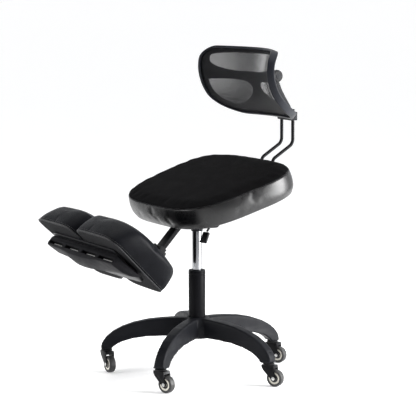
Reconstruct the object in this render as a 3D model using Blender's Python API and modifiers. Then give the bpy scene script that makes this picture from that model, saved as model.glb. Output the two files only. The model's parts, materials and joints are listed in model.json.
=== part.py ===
"""Kneeling chair: five-star castor base, gas lift, forward-tilted seat, telescopic post with two
shin cushions, and a small mesh backrest on two bent rods.  Metres, +Z up, the floor is Z = 0 and the
column stands on the origin.  The sitter faces -Y, so the shin cushions are at -Y and the backrest at +Y."""

import math

import bmesh
import bpy
from mathutils import Matrix, Vector

for old in list(bpy.data.objects):
    bpy.data.objects.remove(old, do_unlink=True)

# ---------------------------------------------------------------- driving dimensions
GAP = 0.0003                      # between pieces that touch

# base and castors
TIP_R = 0.2706                    # column axis to castor stem
ARM_DEG = (92.0, 20.0, -52.0, -124.0, 164.0)
TRAIL_DEG = (27.0, 30.0, 20.0, -2.0, 232.0)      # where each castor trails at rest, from +X
WHEEL_R, WHEEL_W = 0.025, 0.020
TRAIL = 0.022
ARM_TOP = [(0.020, 0.1675), (0.060, 0.1675), (0.100, 0.1650), (0.147, 0.1595), (0.190, 0.1495), (0.225, 0.1365),
           (0.252, 0.1215), (0.272, 0.1045), (0.2835, 0.0880), (0.2870, 0.0750), (0.2840, 0.0675)]
ARM_BOTTOM = [(0.2560, 0.0675), (0.2500, 0.0760), (0.2350, 0.0865), (0.2216, 0.0930), (0.190, 0.1030),
              (0.150, 0.1095), (0.100, 0.1120), (0.060, 0.1120), (0.020, 0.1120)]
ARM_HALF = 0.0245

# column
COLUMN_R, COLUMN_BORE = 0.0250, 0.0225
COLUMN_Z = (0.1100, 0.3060)
ROD_R = 0.0140
ROD_Z = (0.2190, 0.4365)
MECH_Z = 0.4370                   # underside of the mechanism box

# seat: local frame at the middle of the top face, tilted forward
SEAT_AT = (0.0, 0.027, 0.577)
SEAT_TILT = math.radians(17.7)
SEAT_W, SEAT_L, SEAT_T = 0.522, 0.378, 0.072
BOARD_T = 0.012

# knee support: (l, n) = along the shins towards the feet, and square to the cushions
KNEE_TILT = math.radians(43.0)
POST_L = -0.346
KNEE_AT_Y = -0.007                 # where the knee support's own (l, n) origin lies, from the column axis
POST_W, POST_T = 0.036, 0.014
PAD_N = (0.0620, 0.1310, 0.1550)  # underside, edge, crown

# backrest
ROD_X = 0.031
BACK_ROD_R = 0.005
BACK_HALF_W = 0.200
HINGE = (0.258, 0.875)            # tilt axis of the backrest, (Y, Z)

# ---------------------------------------------------------------- collections and materials
root = bpy.context.scene.collection
chair = bpy.data.collections.new("kneeling_chair")
cutters = bpy.data.collections.new("cutters")
root.children.link(chair)
root.children.link(cutters)


def material(name, colour, roughness, metallic=0.0):
    mat = bpy.data.materials.new(name)
    mat.use_nodes = True
    bsdf = mat.node_tree.nodes["Principled BSDF"]
    bsdf.inputs["Base Color"].default_value = (*colour, 1.0)
    bsdf.inputs["Roughness"].default_value = roughness
    bsdf.inputs["Metallic"].default_value = metallic
    mat.diffuse_color = (*colour, 1.0)
    return mat


NYLON = material("black_nylon", (0.018, 0.018, 0.020), 0.42)
TUBE = material("black_painted_tube", (0.012, 0.012, 0.013), 0.35)
CHROME = material("chromed_rod", (0.80, 0.80, 0.82), 0.12, 1.0)
STEEL = material("black_steel", (0.016, 0.016, 0.018), 0.38, 0.2)
ZINC = material("zinc_plated_steel", (0.62, 0.62, 0.60), 0.30, 1.0)
LEATHER = material("black_leatherette", (0.014, 0.014, 0.015), 0.40)
PLY = material("black_board", (0.020, 0.020, 0.021), 0.70)
MESH = material("black_mesh_fabric", (0.030, 0.031, 0.034), 0.80)
TYRE = material("black_tyre", (0.020, 0.020, 0.020), 0.70)
CREAM = material("cream_wheel", (0.78, 0.74, 0.66), 0.45)
GRIP = material("black_grip", (0.020, 0.020, 0.021), 0.55)


# ---------------------------------------------------------------- helpers
def put(obj, mat, parent=None, smooth=False, collection=None):
    """Link an object, give it its material and parent, and set its shading."""
    if not obj.users_collection:
        (collection or chair).objects.link(obj)
    else:
        for c in list(obj.users_collection):
            c.objects.unlink(obj)
        (collection or chair).objects.link(obj)
    if mat is not None:
        obj.data.materials.clear()
        obj.data.materials.append(mat)
    if parent is not None:
        obj.parent = parent
    if smooth and obj.type == "MESH":
        obj.data.shade_smooth()
        edge_split = obj.data
        edge_split.set_sharp_from_angle(angle=math.radians(35.0))
    return obj


def axis_empty(name, at, rot=(0.0, 0.0, 0.0), parent=None):
    """An empty on a joint's axis; at and rot are in the world."""
    e = bpy.data.objects.new(name, None)
    e.empty_display_size = 0.03
    chair.objects.link(e)
    e.location = at
    e.rotation_euler = rot
    if parent is not None:
        bpy.context.view_layer.update()
        e.parent = parent
        e.matrix_parent_inverse = parent.matrix_world.inverted()
    return e


def from_curve(curve):
    """Turn curve data into a clean mesh."""
    tmp = bpy.data.objects.new("tmp", curve)
    root.objects.link(tmp)
    dg = bpy.context.evaluated_depsgraph_get()
    me = bpy.data.meshes.new_from_object(tmp.evaluated_get(dg))
    bpy.data.objects.remove(tmp, do_unlink=True)
    bm = bmesh.new()
    bm.from_mesh(me)
    bmesh.ops.remove_doubles(bm, verts=bm.verts, dist=1e-6)
    bmesh.ops.recalc_face_normals(bm, faces=bm.faces)
    bm.to_mesh(me)
    bm.free()
    return me


def outline(loops, depth):
    """A flat outline, with holes, filled and given a thickness about its plane."""
    curve = bpy.data.curves.new("outline", "CURVE")
    curve.dimensions = "2D"
    curve.fill_mode = "BOTH"
    curve.extrude = depth / 2
    for loop in loops:
        spline = curve.splines.new("POLY")
        spline.points.add(len(loop) - 1)
        for point, (x, y) in zip(spline.points, loop):
            point.co = (x, y, 0.0, 1.0)
        spline.use_cyclic_u = True
    me = from_curve(curve)
    return me


# outline planes: local x, y of the outline go to these world directions, and its thickness to the third
SIDE = Matrix(((0, 0, 1, 0), (1, 0, 0, 0), (0, 1, 0, 0), (0, 0, 0, 1)))      # (Y, Z), thickness along X


def mesh_obj(name, me):
    me.name = name
    return bpy.data.objects.new(name, me)


def tube(name, points, radius, resolution=3):
    """A round bar along a POLY spline, with filled caps, as a mesh."""
    curve = bpy.data.curves.new(name, "CURVE")
    curve.dimensions = "3D"
    curve.bevel_depth = radius
    curve.bevel_resolution = resolution
    curve.use_fill_caps = True
    spline = curve.splines.new("POLY")
    spline.points.add(len(points) - 1)
    for p, co in zip(spline.points, points):
        p.co = (*co, 1.0)
    return mesh_obj(name, from_curve(curve))


def turned(name, profile, steps=32, ring=False):
    """A profile of (radius, height) turned about local Z with a Screw modifier."""
    bm = bmesh.new()
    verts = [bm.verts.new((r, 0.0, z)) for r, z in profile]
    for a, b in zip(verts, verts[1:]):
        bm.edges.new((a, b))
    if ring:
        bm.edges.new((verts[-1], verts[0]))
    me = bpy.data.meshes.new(name)
    bm.to_mesh(me)
    bm.free()
    obj = bpy.data.objects.new(name, me)
    screw = obj.modifiers.new("turn", "SCREW")
    screw.axis = "Z"
    screw.angle = 2 * math.pi
    screw.steps = steps
    screw.render_steps = steps
    screw.use_merge_vertices = True
    screw.merge_threshold = 0.00001
    screw.use_smooth_shade = True
    return obj


def box(name, size, at=(0, 0, 0), rot=(0, 0, 0), bevel=0.0, segments=1):
    bpy.ops.mesh.primitive_cube_add(size=1.0)
    obj = bpy.context.object
    obj.name = name
    obj.data.name = name
    obj.data.transform(Matrix.Diagonal((*size, 1.0)))
    obj.location = at
    obj.rotation_euler = rot
    if bevel:
        add_bevel(obj, bevel, segments)
    return obj


def cylinder(name, r, depth, at=(0, 0, 0), rot=(0, 0, 0), sides=24):
    bpy.ops.mesh.primitive_cylinder_add(radius=r, depth=depth, vertices=sides)
    obj = bpy.context.object
    obj.name = name
    obj.data.name = name
    obj.location = at
    obj.rotation_euler = rot
    return obj


def add_bevel(obj, width, segments=1, angle=40.0):
    mod = obj.modifiers.new("edges", "BEVEL")
    mod.width = width
    mod.segments = segments
    mod.limit_method = "ANGLE"
    mod.angle_limit = math.radians(angle)
    return mod


def boolean(obj, other, operation="DIFFERENCE"):
    """Cut or join with another object, which goes to the cutters' collection."""
    for c in list(other.users_collection):
        c.objects.unlink(other)
    cutters.objects.link(other)
    other.hide_render = True
    other.display_type = "WIRE"
    mod = obj.modifiers.new(operation.lower(), "BOOLEAN")
    mod.operation = operation
    mod.object = other
    mod.solver = "EXACT"
    return mod


def baked(obj):
    """The mesh of an object with its modifiers applied."""
    bpy.context.view_layer.update()
    dg = bpy.context.evaluated_depsgraph_get()
    me = bpy.data.meshes.new_from_object(obj.evaluated_get(dg))
    me.name = obj.name
    for mod in list(obj.modifiers):
        other = getattr(mod, "object", None)
        obj.modifiers.remove(mod)
        if other is not None:
            bpy.data.objects.remove(other, do_unlink=True)
    bpy.data.objects.remove(obj, do_unlink=True)
    return me


def rounded(points, radius, steps=5):
    """Round the inner corners of an open path of 2D or 3D points."""
    pts = [Vector(p) for p in points]
    radii = radius if isinstance(radius, (list, tuple)) else [radius] * (len(pts) - 2)
    out = [pts[0]]
    for a, b, c, rad in zip(pts, pts[1:], pts[2:], radii):
        u, v = (a - b).normalized(), (c - b).normalized()
        half = math.acos(max(-1.0, min(1.0, u.dot(v)))) / 2
        back = rad / math.tan(half)
        centre = b + (u + v).normalized() * (rad / math.sin(half))
        start, end = b + u * back - centre, b + v * back - centre
        total = math.acos(max(-1.0, min(1.0, start.dot(end) / rad ** 2)))
        for i in range(steps + 1):
            f = i / steps
            out.append(centre + (start * math.sin((1 - f) * total) + end * math.sin(f * total)) / math.sin(total))
    out.append(pts[-1])
    return [tuple(p) for p in out]


def superellipse(half_x, half_y, power, count):
    out = []
    for i in range(count):
        a = 2 * math.pi * i / count
        c, s = math.cos(a), math.sin(a)
        out.append((half_x * math.copysign(abs(c) ** (2 / power), c), half_y * math.copysign(abs(s) ** (2 / power), s)))
    return out


# ---------------------------------------------------------------- five-star base
def star_arm(name, degrees):
    """One arched arm along +X: its side view given a width, narrower on top, edges rounded, turned in place."""
    me = outline([ARM_TOP + ARM_BOTTOM], 2 * ARM_HALF)
    # the outline's plane is radius and height, and its thickness lies across the arm
    me.transform(Matrix(((1, 0, 0, 0), (0, 0, -1, 0), (0, 1, 0, 0), (0, 0, 0, 1))))
    tops = {(round(r, 4), round(z, 4)) for r, z in ARM_TOP[:-1]}
    for v in me.vertices:
        out = 1.0 - 0.10 * max(0.0, (v.co.x - 0.10) / 0.18)
        high = (round(v.co.x, 4), round(v.co.z, 4)) in tops
        v.co.y *= out * (0.66 if high else 1.0)
    obj = mesh_obj(name, me)
    chair.objects.link(obj)
    add_bevel(obj, 0.0055, 2)
    me = baked(obj)
    me.transform(Matrix.Rotation(math.radians(degrees), 4, "Z"))
    return mesh_obj(name, me)


hub = turned("base_star", [(0, 0.1706), (0.0290, 0.1706), (0.0325, 0.1690), (0.0380, 0.1640), (0.0470, 0.1540),
                           (0.0505, 0.1440), (0.0510, 0.1180), (0.0480, 0.1090), (0, 0.1090)], 40)
put(hub, NYLON)
for i, degrees in enumerate(ARM_DEG):
    boolean(hub, star_arm(f"arm_{i + 1}", degrees), "UNION")
boolean(hub, cylinder("hub_bore", COLUMN_R + 0.0004, 0.2, (0, 0, 0.14), sides=40))
for degrees in ARM_DEG:
    a = math.radians(degrees)
    boolean(hub, cylinder("stem_bore", 0.0059, 0.060, (TIP_R * math.cos(a), TIP_R * math.sin(a), 0.0700), sides=16))
star = mesh_obj("base_star", baked(hub))
put(star, NYLON, smooth=True)

# column tube: closed foot, open top, with the guide bush in its mouth
z0, z1 = COLUMN_Z
column = turned("column_tube", [(COLUMN_BORE, z1), (COLUMN_R - 0.0008, z1), (COLUMN_R, z1 - 0.0008), (COLUMN_R, z0 + 0.0008),
                                (COLUMN_R - 0.0008, z0), (0, z0), ][:6] + [(0, z0 + 0.0025), (COLUMN_BORE, z0 + 0.0025)],
                40, ring=False)
# the wall is one closed loop: outer side down, across the foot, and back up inside
profile = [(COLUMN_BORE, z1), (COLUMN_R - 0.0008, z1), (COLUMN_R, z1 - 0.0008), (COLUMN_R, z0 + 0.0008),
           (COLUMN_R - 0.0008, z0), (0, z0)]
bpy.data.objects.remove(column, do_unlink=True)
column = turned("column_tube", [(0, z0 + 0.0025), (COLUMN_BORE, z0 + 0.0025)] + profile, 40)
put(column, TUBE)
bush = turned("column_bush", [(ROD_R + 0.0003, z1 + 0.0040), (COLUMN_R - 0.0012, z1 + 0.0040), (COLUMN_R - 0.0002, z1 + 0.0030),
                              (COLUMN_R - 0.0002, z1 + GAP), (COLUMN_BORE - 0.0004, z1 + GAP), (COLUMN_BORE - 0.0004, z1 - 0.0300),
                              (ROD_R + 0.0003, z1 - 0.0300)], 40, ring=True)
put(bush, NYLON)


# ---------------------------------------------------------------- castors
def castor_fork():
    """Crown and two legs: the side view given the full width, then the wheel's slot cut out."""
    side = [(-0.0165, 0.0620), (-0.0165, 0.0560), (-0.0120, 0.0480), (0.0125, 0.0235), (0.0165, 0.0185), (0.0220, 0.0168),
            (0.0280, 0.0195), (0.0305, 0.0250), (0.0290, 0.0320), (0.0240, 0.0440), (0.0235, 0.0560), (0.0225, 0.0620)]
    me = outline([side], 0.0272)
    me.transform(Matrix(((1, 0, 0, 0), (0, 0, -1, 0), (0, 1, 0, 0), (0, 0, 0, 1))))
    obj = mesh_obj("castor_fork", me)
    chair.objects.link(obj)
    boolean(obj, box("slot", (0.080, 0.0226, 0.080), (0.0, 0.0, 0.0135)))
    boolean(obj, cylinder("axle_bore", 0.00325, 0.04, (TRAIL, 0, WHEEL_R), (math.pi / 2, 0, 0), 16))
    boolean(obj, cylinder("stem_bore", 0.00590, 0.03, (0, 0, 0.060), sides=16))
    me = baked(obj)
    me.transform(Matrix.Translation((0, 0, 0)))
    return me


def turned_mesh(name, profile, steps, ring=False):
    obj = turned(name, profile, steps, ring)
    chair.objects.link(obj)
    return baked(obj)


half = WHEEL_W / 2
tyre_mesh = turned_mesh("castor_tyre", [(0.0176, half), (0.0228, half), (0.0246, half - 0.0040), (WHEEL_R, 0.0),
                                        (0.0246, -half + 0.0040), (0.0228, -half), (0.0176, -half)], 20, True)
wheel_mesh = turned_mesh("castor_wheel", [(0.0034, 0.0108), (0.0070, 0.0108), (0.0072, 0.0085), (0.0172, 0.0080),
                                          (0.0172, -0.0080), (0.0072, -0.0085), (0.0070, -0.0108), (0.0034, -0.0108)], 16, True)
axle_mesh = turned_mesh("castor_axle", [(0, 0.0168), (0.0055, 0.0168), (0.0055, 0.0140), (0.0030, 0.0140),
                                        (0.0030, -0.0140), (0.0055, -0.0140), (0.0055, -0.0168), (0, -0.0168)], 12)
stem_mesh = turned_mesh("castor_stem", [(0, 0.0965), (0.0055, 0.0965), (0.0055, 0.0671), (0.0165, 0.0671),
                                        (0.0165, 0.0624), (0.0055, 0.0624), (0.0055, 0.0545), (0, 0.0545)], 16)
for me in (tyre_mesh, wheel_mesh, axle_mesh):
    me.transform(Matrix.Rotation(math.pi / 2, 4, "X"))
fork_mesh = castor_fork()

for i, (degrees, trail) in enumerate(zip(ARM_DEG, TRAIL_DEG), 1):
    a = math.radians(degrees)
    swivel = axis_empty(f"castor_{i}_swivel_axis", (TIP_R * math.cos(a), TIP_R * math.sin(a), 0.0), (0, 0, math.radians(trail)))
    bpy.context.view_layer.update()
    axle_at = swivel.matrix_world @ Vector((TRAIL, 0, WHEEL_R))
    spin = axis_empty(f"castor_{i}_wheel_axis", axle_at, (0, 0, math.radians(trail)), swivel)
    for part, mesh, mat, holder in (("stem", stem_mesh, ZINC, swivel), ("fork", fork_mesh, STEEL, swivel),
                                    ("axle", axle_mesh, ZINC, swivel), ("wheel", wheel_mesh, CREAM, spin), ("tyre", tyre_mesh, TYRE, spin)):
        obj = bpy.data.objects.new(f"castor_{i}_{part}", mesh)
        put(obj, mat, holder, smooth=True)
        if part == "axle":                    # the bolt stays in the fork while the wheel turns on it
            obj.location = (TRAIL, 0, WHEEL_R)

# ---------------------------------------------------------------- gas lift rod
lift_axis = axis_empty("lift_axis", (0, 0, 0))
rod = turned("lift_rod", [(0, ROD_Z[1]), (ROD_R - 0.001, ROD_Z[1]), (ROD_R, ROD_Z[1] - 0.001), (ROD_R, ROD_Z[0] + 0.001),
                          (ROD_R - 0.001, ROD_Z[0]), (0, ROD_Z[0])], 40)
put(rod, CHROME, lift_axis)

# ---------------------------------------------------------------- seat mechanism
seat_axis = axis_empty("seat_swivel_axis", (0, 0, 0), parent=lift_axis)
seat_frame = axis_empty("seat_frame", SEAT_AT, (SEAT_TILT, 0, 0), seat_axis)
UP = Vector((0, -math.sin(SEAT_TILT), math.cos(SEAT_TILT)))
BACK = Vector((0, math.cos(SEAT_TILT), math.sin(SEAT_TILT)))


def seat_point(x, v, n):
    return Vector(SEAT_AT) + Vector((x, 0, 0)) + BACK * v + UP * n


BOARD_N = -SEAT_T - GAP                      # top of the board
PLATE_N = BOARD_N - BOARD_T - GAP            # top of the steel plate
PLATE_T = 0.0030
UNDER_N = PLATE_N - PLATE_T - GAP            # what bolts to the plate starts here

collar = turned("lift_collar", [(ROD_R + 0.0003, MECH_Z - GAP), (0.0200, MECH_Z - GAP), (0.0200, MECH_Z - 0.0045), (0.0175, MECH_Z - 0.0060),
                                (0.0168, MECH_Z - 0.0115), (ROD_R + 0.0003, MECH_Z - 0.0115)], 40, ring=True)
put(collar, NYLON, seat_axis)


def knee_point(l, n):
    """(Y, Z) of a point of the knee support's side view."""
    return (math.cos(KNEE_TILT) * l + math.sin(KNEE_TILT) * n + KNEE_AT_Y, -math.sin(KNEE_TILT) * l + math.cos(KNEE_TILT) * n)


def plate_z(y):
    """Height of the plate's underside, less the gap, at a distance back."""
    under = seat_point(0, 0, UNDER_N)
    return under.z + (y - under.y) * math.tan(SEAT_TILT)


def meet_plate(l):
    """Where a line square to the knee cushions, at l, reaches the plate: its n."""
    lo, hi = 0.0, 0.6
    for _ in range(60):
        mid = (lo + hi) / 2
        y, z = knee_point(l, mid)
        lo, hi = (mid, hi) if z < plate_z(y) else (lo, mid)
    return lo


post_back = POST_L + POST_T / 2 + GAP
n_top = meet_plate(post_back)
n_low = (0.4420 + math.sin(KNEE_TILT) * post_back) / math.cos(KNEE_TILT)
mech_side = [knee_point(post_back, n_low), (-0.040, MECH_Z), (0.045, MECH_Z), (0.066, 0.4560), (0.066, plate_z(0.066)), knee_point(post_back, n_top)]
me = outline([mech_side], 0.090)
me.transform(SIDE)
mech = mesh_obj("mech_box", me)
put(mech, STEEL, seat_axis)
add_bevel(mech, 0.0015, 1, 30)

plate = box("seat_plate", (0.200, 0.180, PLATE_T), bevel=0.0008)
put(plate, STEEL, seat_frame)
plate.location = (0, 0, PLATE_N - PLATE_T / 2)

board_me = outline([superellipse(0.205, 0.132, 4.0, 28)], BOARD_T)
board = mesh_obj("seat_board", board_me)
put(board, PLY, seat_frame)
board.location = (0, 0, BOARD_N - BOARD_T / 2)


def cushion(name, segments, rings, shape, flat_top=False):
    """A closed soft form: a capped cylinder with its side cut into rings, each point then placed by shape(angle, k)."""
    bm = bmesh.new()
    bmesh.ops.create_cone(bm, cap_ends=True, cap_tris=False, segments=segments, radius1=1.0, radius2=1.0, depth=2.0)
    uprights = [e for e in bm.edges if abs(e.verts[0].co.z - e.verts[1].co.z) > 1.0]
    bmesh.ops.subdivide_edges(bm, edges=uprights, cuts=rings - 2, use_grid_fill=True)
    top = [f for f in bm.faces if len(f.verts) == segments and f.calc_center_median().z > 0.9]
    if not flat_top:
        for inset in (0.30, 0.45):
            made = bmesh.ops.inset_individual(bm, faces=top, thickness=inset, use_even_offset=False)
    for v in bm.verts:
        angle = math.atan2(v.co.y, v.co.x)
        radius = math.hypot(v.co.x, v.co.y)
        v.co = Vector(shape(angle, radius, v.co.z))
    bmesh.ops.recalc_face_normals(bm, faces=bm.faces)
    me = bpy.data.meshes.new(name)
    bm.to_mesh(me)
    bm.free()
    return mesh_obj(name, me)


def seat_shape(angle, radius, z):
    c, s = math.cos(angle), math.sin(angle)
    power = 3.3
    u = math.copysign(abs(c) ** (2 / power), c) * SEAT_W / 2
    v = math.copysign(abs(s) ** (2 / power), s) * SEAT_L / 2
    u *= 1 + 0.055 * v / (SEAT_L / 2)
    depth = (1 - z) / 2                       # 0 at the top, 1 at the underside
    out = 0.0060 * math.sin(math.pi * min(1.0, depth * 1.05)) - 0.005 * max(0.0, depth - 0.75) / 0.25
    r = math.hypot(u, v)
    k = 1 + out / r
    if radius < 0.99 and z > 0.9:
        k = radius
    crown = 0.006 * (1 - min(1.0, radius) ** 2) if z > 0.9 else 0.0
    return (u * k, v * k, -SEAT_T * depth + crown)


seat = cushion("seat_cushion", 40, 6, seat_shape)
put(seat, LEATHER, seat_frame, smooth=True)

# ---------------------------------------------------------------- height lever
lever_axis = axis_empty("lever_axis", (0.047, -0.012, 0.4560), parent=seat_axis)


def under(parent, obj):
    """Parent an object whose shape is in world coordinates, and move its origin to the parent's."""
    bpy.context.view_layer.update()
    obj.data.transform(parent.matrix_world.inverted())
    obj.parent = parent
    return obj


lever_rod = tube("lever_rod", rounded([(0.0455, -0.0120, 0.4560), (0.1000, -0.0120, 0.4530), (0.1185, -0.0330, 0.4425)], 0.014, 4), 0.0035, 2)
put(lever_rod, STEEL)
under(lever_axis, lever_rod)


def blade():
    """Grip of the lever: a tapered bar along its own +Z, ends rounded by bevels."""
    obj = box("lever_grip", (0.022, 0.0095, 0.034))
    for v in obj.data.vertices:
        if v.co.z < 0:
            v.co.x *= 1.25
            v.co.y *= 0.75
    add_bevel(obj, 0.0032, 2, 30)
    return obj


direction = (Vector((0.1185, -0.0330, 0.4425)) - Vector((0.1230, -0.0500, 0.4110))).normalized()
grip = blade()
grip_at = Vector((0.1185, -0.0330, 0.4425)) - direction * (0.017 + 0.0038)
grip.matrix_world = Matrix.Translation(grip_at) @ direction.to_track_quat("Z", "Y").to_matrix().to_4x4()
bpy.context.view_layer.update()
grip_me = baked(grip)
grip_me.transform(Matrix.Translation(grip_at) @ direction.to_track_quat("Z", "Y").to_matrix().to_4x4())
grip = mesh_obj("lever_grip", grip_me)
put(grip, GRIP, smooth=True)
under(lever_axis, grip)

# ---------------------------------------------------------------- knee post, on the seat side
post_front = POST_L - POST_T / 2
post_rear = POST_L + POST_T / 2
POST_END = 0.1050
post_side = [knee_point(post_front, POST_END), knee_point(post_rear, POST_END),
             knee_point(post_rear, meet_plate(post_rear)), knee_point(post_front, meet_plate(post_front))]
me = outline([post_side], POST_W)
me.transform(SIDE)
post = mesh_obj("knee_post", me)
put(post, STEEL, seat_axis)
add_bevel(post, 0.0012, 1, 30)

# ---------------------------------------------------------------- knee support, sliding on the post
y, z = knee_point(POST_L, 0.12)
knee_slide = axis_empty("knee_slide_axis", (0, y, z), (-KNEE_TILT, 0, 0), seat_axis)
KNEE_FRAME = Matrix.Translation((0, y, z)) @ Matrix.Rotation(-KNEE_TILT, 4, "X")


def knee(obj, mat, smooth=False):
    """Place a piece drawn in (x, l, n) on the sliding knee support."""
    put(obj, mat, knee_slide, smooth)
    obj.location = (0, -POST_L, -0.12)
    return obj


sock_w, sock_t, wall = POST_W / 2 + 0.0004, POST_T / 2 + 0.0004, 0.0025
ring = [[(-sock_w - wall, -sock_t - wall), (sock_w + wall, -sock_t - wall), (sock_w + wall, sock_t + wall), (-sock_w - wall, sock_t + wall)],
        [(-sock_w, -sock_t), (-sock_w, sock_t), (sock_w, sock_t), (sock_w, -sock_t)]]
SOCKET_N = (0.0800, 0.2050)
me = outline(ring, SOCKET_N[1] - SOCKET_N[0])
me.transform(Matrix.Translation((0, POST_L, sum(SOCKET_N) / 2)))
socket = mesh_obj("knee_socket", me)
knee(socket, STEEL)
me = outline([[(-0.4900, 0.0620), (-0.4050, 0.0620), (-0.3750, 0.0830), (-0.3545, 0.0830), (-0.3545, 0.1280), (-0.4500, 0.1280), (-0.4900, 0.0900)]], 0.0150)
me.transform(SIDE)                            # rib: stands on the plate between the cushions, welded to the socket's front
rib = mesh_obj("rib", me)
knee(rib, None)
boolean(socket, rib, "UNION")
CLAMP_N = 0.1930
bore = cylinder("clamp_bore", 0.0034, 0.06, (0, 0, 0), (math.pi / 2, 0, 0), 16)
put(bore, None, knee_slide)
bore.location = (0, 0, CLAMP_N - 0.12)
boolean(socket, bore)

KNOB = [(0, 0.0150), (0.0060, 0.0150), (0.0082, 0.0138), (0.0090, 0.0115), (0.0090, 0.0035), (0.0080, 0.0015), (0.0055, 0.0003)]


def clamp_knob(name, side):
    """A hand knob on a screw that passes the socket's wall and stops short of the post."""
    stud = -(wall + 0.0003)
    obj = turned(name, KNOB + [(0.0030, 0.0003), (0.0030, stud + 0.0004), (0, stud + 0.0004)], 20)
    put(obj, NYLON, knee_slide)
    obj.location = (0, side * (sock_t + wall), CLAMP_N - 0.12)
    obj.rotation_euler = (-side * math.pi / 2, 0, 0)
    return obj


clamp_knob("knee_knob_front", -1)
clamp_knob("knee_knob_rear", 1)

# plate under both cushions, which the socket's rib stands on
half_plate = [(0.0, -0.5600), (0.1850, -0.5600), (0.1960, -0.5560), (0.2010, -0.5450), (0.1700, -0.4250), (0.1600, -0.4100),
              (0.1450, -0.4040), (0.0480, -0.3980), (0.0, -0.3980)]
me = outline([half_plate + [(-x, l) for x, l in reversed(half_plate[1:-1])]], 0.0050)
me.transform(Matrix.Translation((0, 0, 0.0592)))
knee_plate = mesh_obj("knee_plate", me)
knee(knee_plate, STEEL)

# tray under the plate: front view with the swollen belly, given its length, then the four slots
half_view = [(0.2040, 0.0563), (0.2120, 0.0500), (0.2120, 0.0310), (0.2060, 0.0240), (0.1900, 0.0225), (0.1300, 0.0215),
             (0.1130, 0.0190), (0.0900, 0.0135), (0.0660, 0.0080), (0.0380, 0.0045), (0.0, 0.0035)]
view = half_view + [(-x, n) for x, n in reversed(half_view[:-1])]
TRAY_L = (-0.5450, -0.4500)
me = outline([view], TRAY_L[1] - TRAY_L[0])
me.transform(Matrix(((1, 0, 0, 0), (0, 0, -1, 0), (0, 1, 0, 0), (0, 0, 0, 1))))
me.transform(Matrix.Translation((0, sum(TRAY_L) / 2, 0)))
bm = bmesh.new()
bm.from_mesh(me)
for cut in (-0.5300, -0.5000, -0.4700):
    bmesh.ops.bisect_plane(bm, geom=bm.verts[:] + bm.edges[:] + bm.faces[:], plane_co=(0, cut, 0), plane_no=(0, 1, 0))
for v in bm.verts:                            # the belly swells behind the front edge and fades towards the feet
    if v.co.z < 0.0560:
        f = 0.35 if v.co.y < -0.5400 else 0.80 if v.co.y < -0.5200 else 1.0 if v.co.y < -0.4900 else 0.62 if v.co.y < -0.4600 else 0.10
        if v.co.z < 0.0215:
            v.co.z = 0.0215 + (v.co.z - 0.0215) * f
        g = 0.25 if v.co.y > -0.4600 else 0.62 if v.co.y > -0.4900 else 0.90 if v.co.y > -0.5200 else 1.0
        v.co.z = 0.0563 + (v.co.z - 0.0563) * g
bm.to_mesh(me)
bm.free()
tray = mesh_obj("knee_tray", me)
knee(tray, NYLON)
SLOT_X = (-0.1600, -0.0535, 0.0535, 0.1600)
for x in SLOT_X:
    slot = box("slot", (0.088, 0.040, 0.0100))
    put(slot, None, knee_slide)
    slot.location = (x, TRAY_L[0] - POST_L, 0.0350 - 0.12)
    boolean(tray, slot)

# steel stiffener bars seen in the slots
bar_l = TRAY_L[0] + 0.020 - 0.0004

# cushions: two outlines, underside and top edge, that the side band runs between
PAD_LOW = dict(inner=0.0125, outer=0.252, front=-0.613, rear=-0.3620, taper=0.052, outer_front=5.5, outer_rear=4.0)
PAD_TOP = dict(inner=0.0180, outer=0.255, front=-0.598, rear=-0.3560, taper=0.026, outer_front=2.7, outer_rear=2.6)
PAD_MID = (0.125, -0.478)


def pad_edge(angle, inner, outer, front, rear, taper, outer_front, outer_rear):
    """Point of a cushion's outline at an angle about PAD_MID, for the cushion on +X."""
    c, s = math.cos(angle), math.sin(angle)
    power = 6.0 if c < 0 else outer_front if s < 0 else outer_rear
    u = math.copysign(abs(c) ** (2 / power), c) * ((outer - PAD_MID[0]) if c > 0 else (PAD_MID[0] - inner))
    v = math.copysign(abs(s) ** (2 / power), s) * ((rear - PAD_MID[1]) if s > 0 else (PAD_MID[1] - front))
    if c > 0:                                 # narrower towards the feet, on the outer side
        u -= taper * (v + PAD_MID[1] - front) / (rear - front) * c ** 2
    if s > 0:                                 # the foot end slants back a little towards the outside
        v += 0.030 * u * s ** 2
    return u, v


for side, name in ((-1, "left"), (1, "right")):
    def pad_shape(angle, radius, z, side=side):
        if side < 0:
            angle = math.pi - angle
        up = (z + 1) / 2                     # 0 underside, 1 top edge
        low, top = pad_edge(angle, **PAD_LOW), pad_edge(angle, **PAD_TOP)
        u, v = (low[i] + (top[i] - low[i]) * up for i in (0, 1))
        k = 1.0 + 0.030 * math.sin(math.pi * up) - 0.012 * max(0.0, 0.20 - up) / 0.20
        n = PAD_N[0] + (PAD_N[1] - PAD_N[0]) * up
        if z > 0.9:
            k *= radius
            n = PAD_N[1] + (PAD_N[2] - PAD_N[1]) * (1 - min(1.0, radius) ** 2.2)
        return (side * (PAD_MID[0] + u * k), PAD_MID[1] + v * k, n)

    pad = cushion(f"knee_pad_{name}", 36, 5, pad_shape)
    knee(pad, LEATHER, smooth=True)

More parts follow.
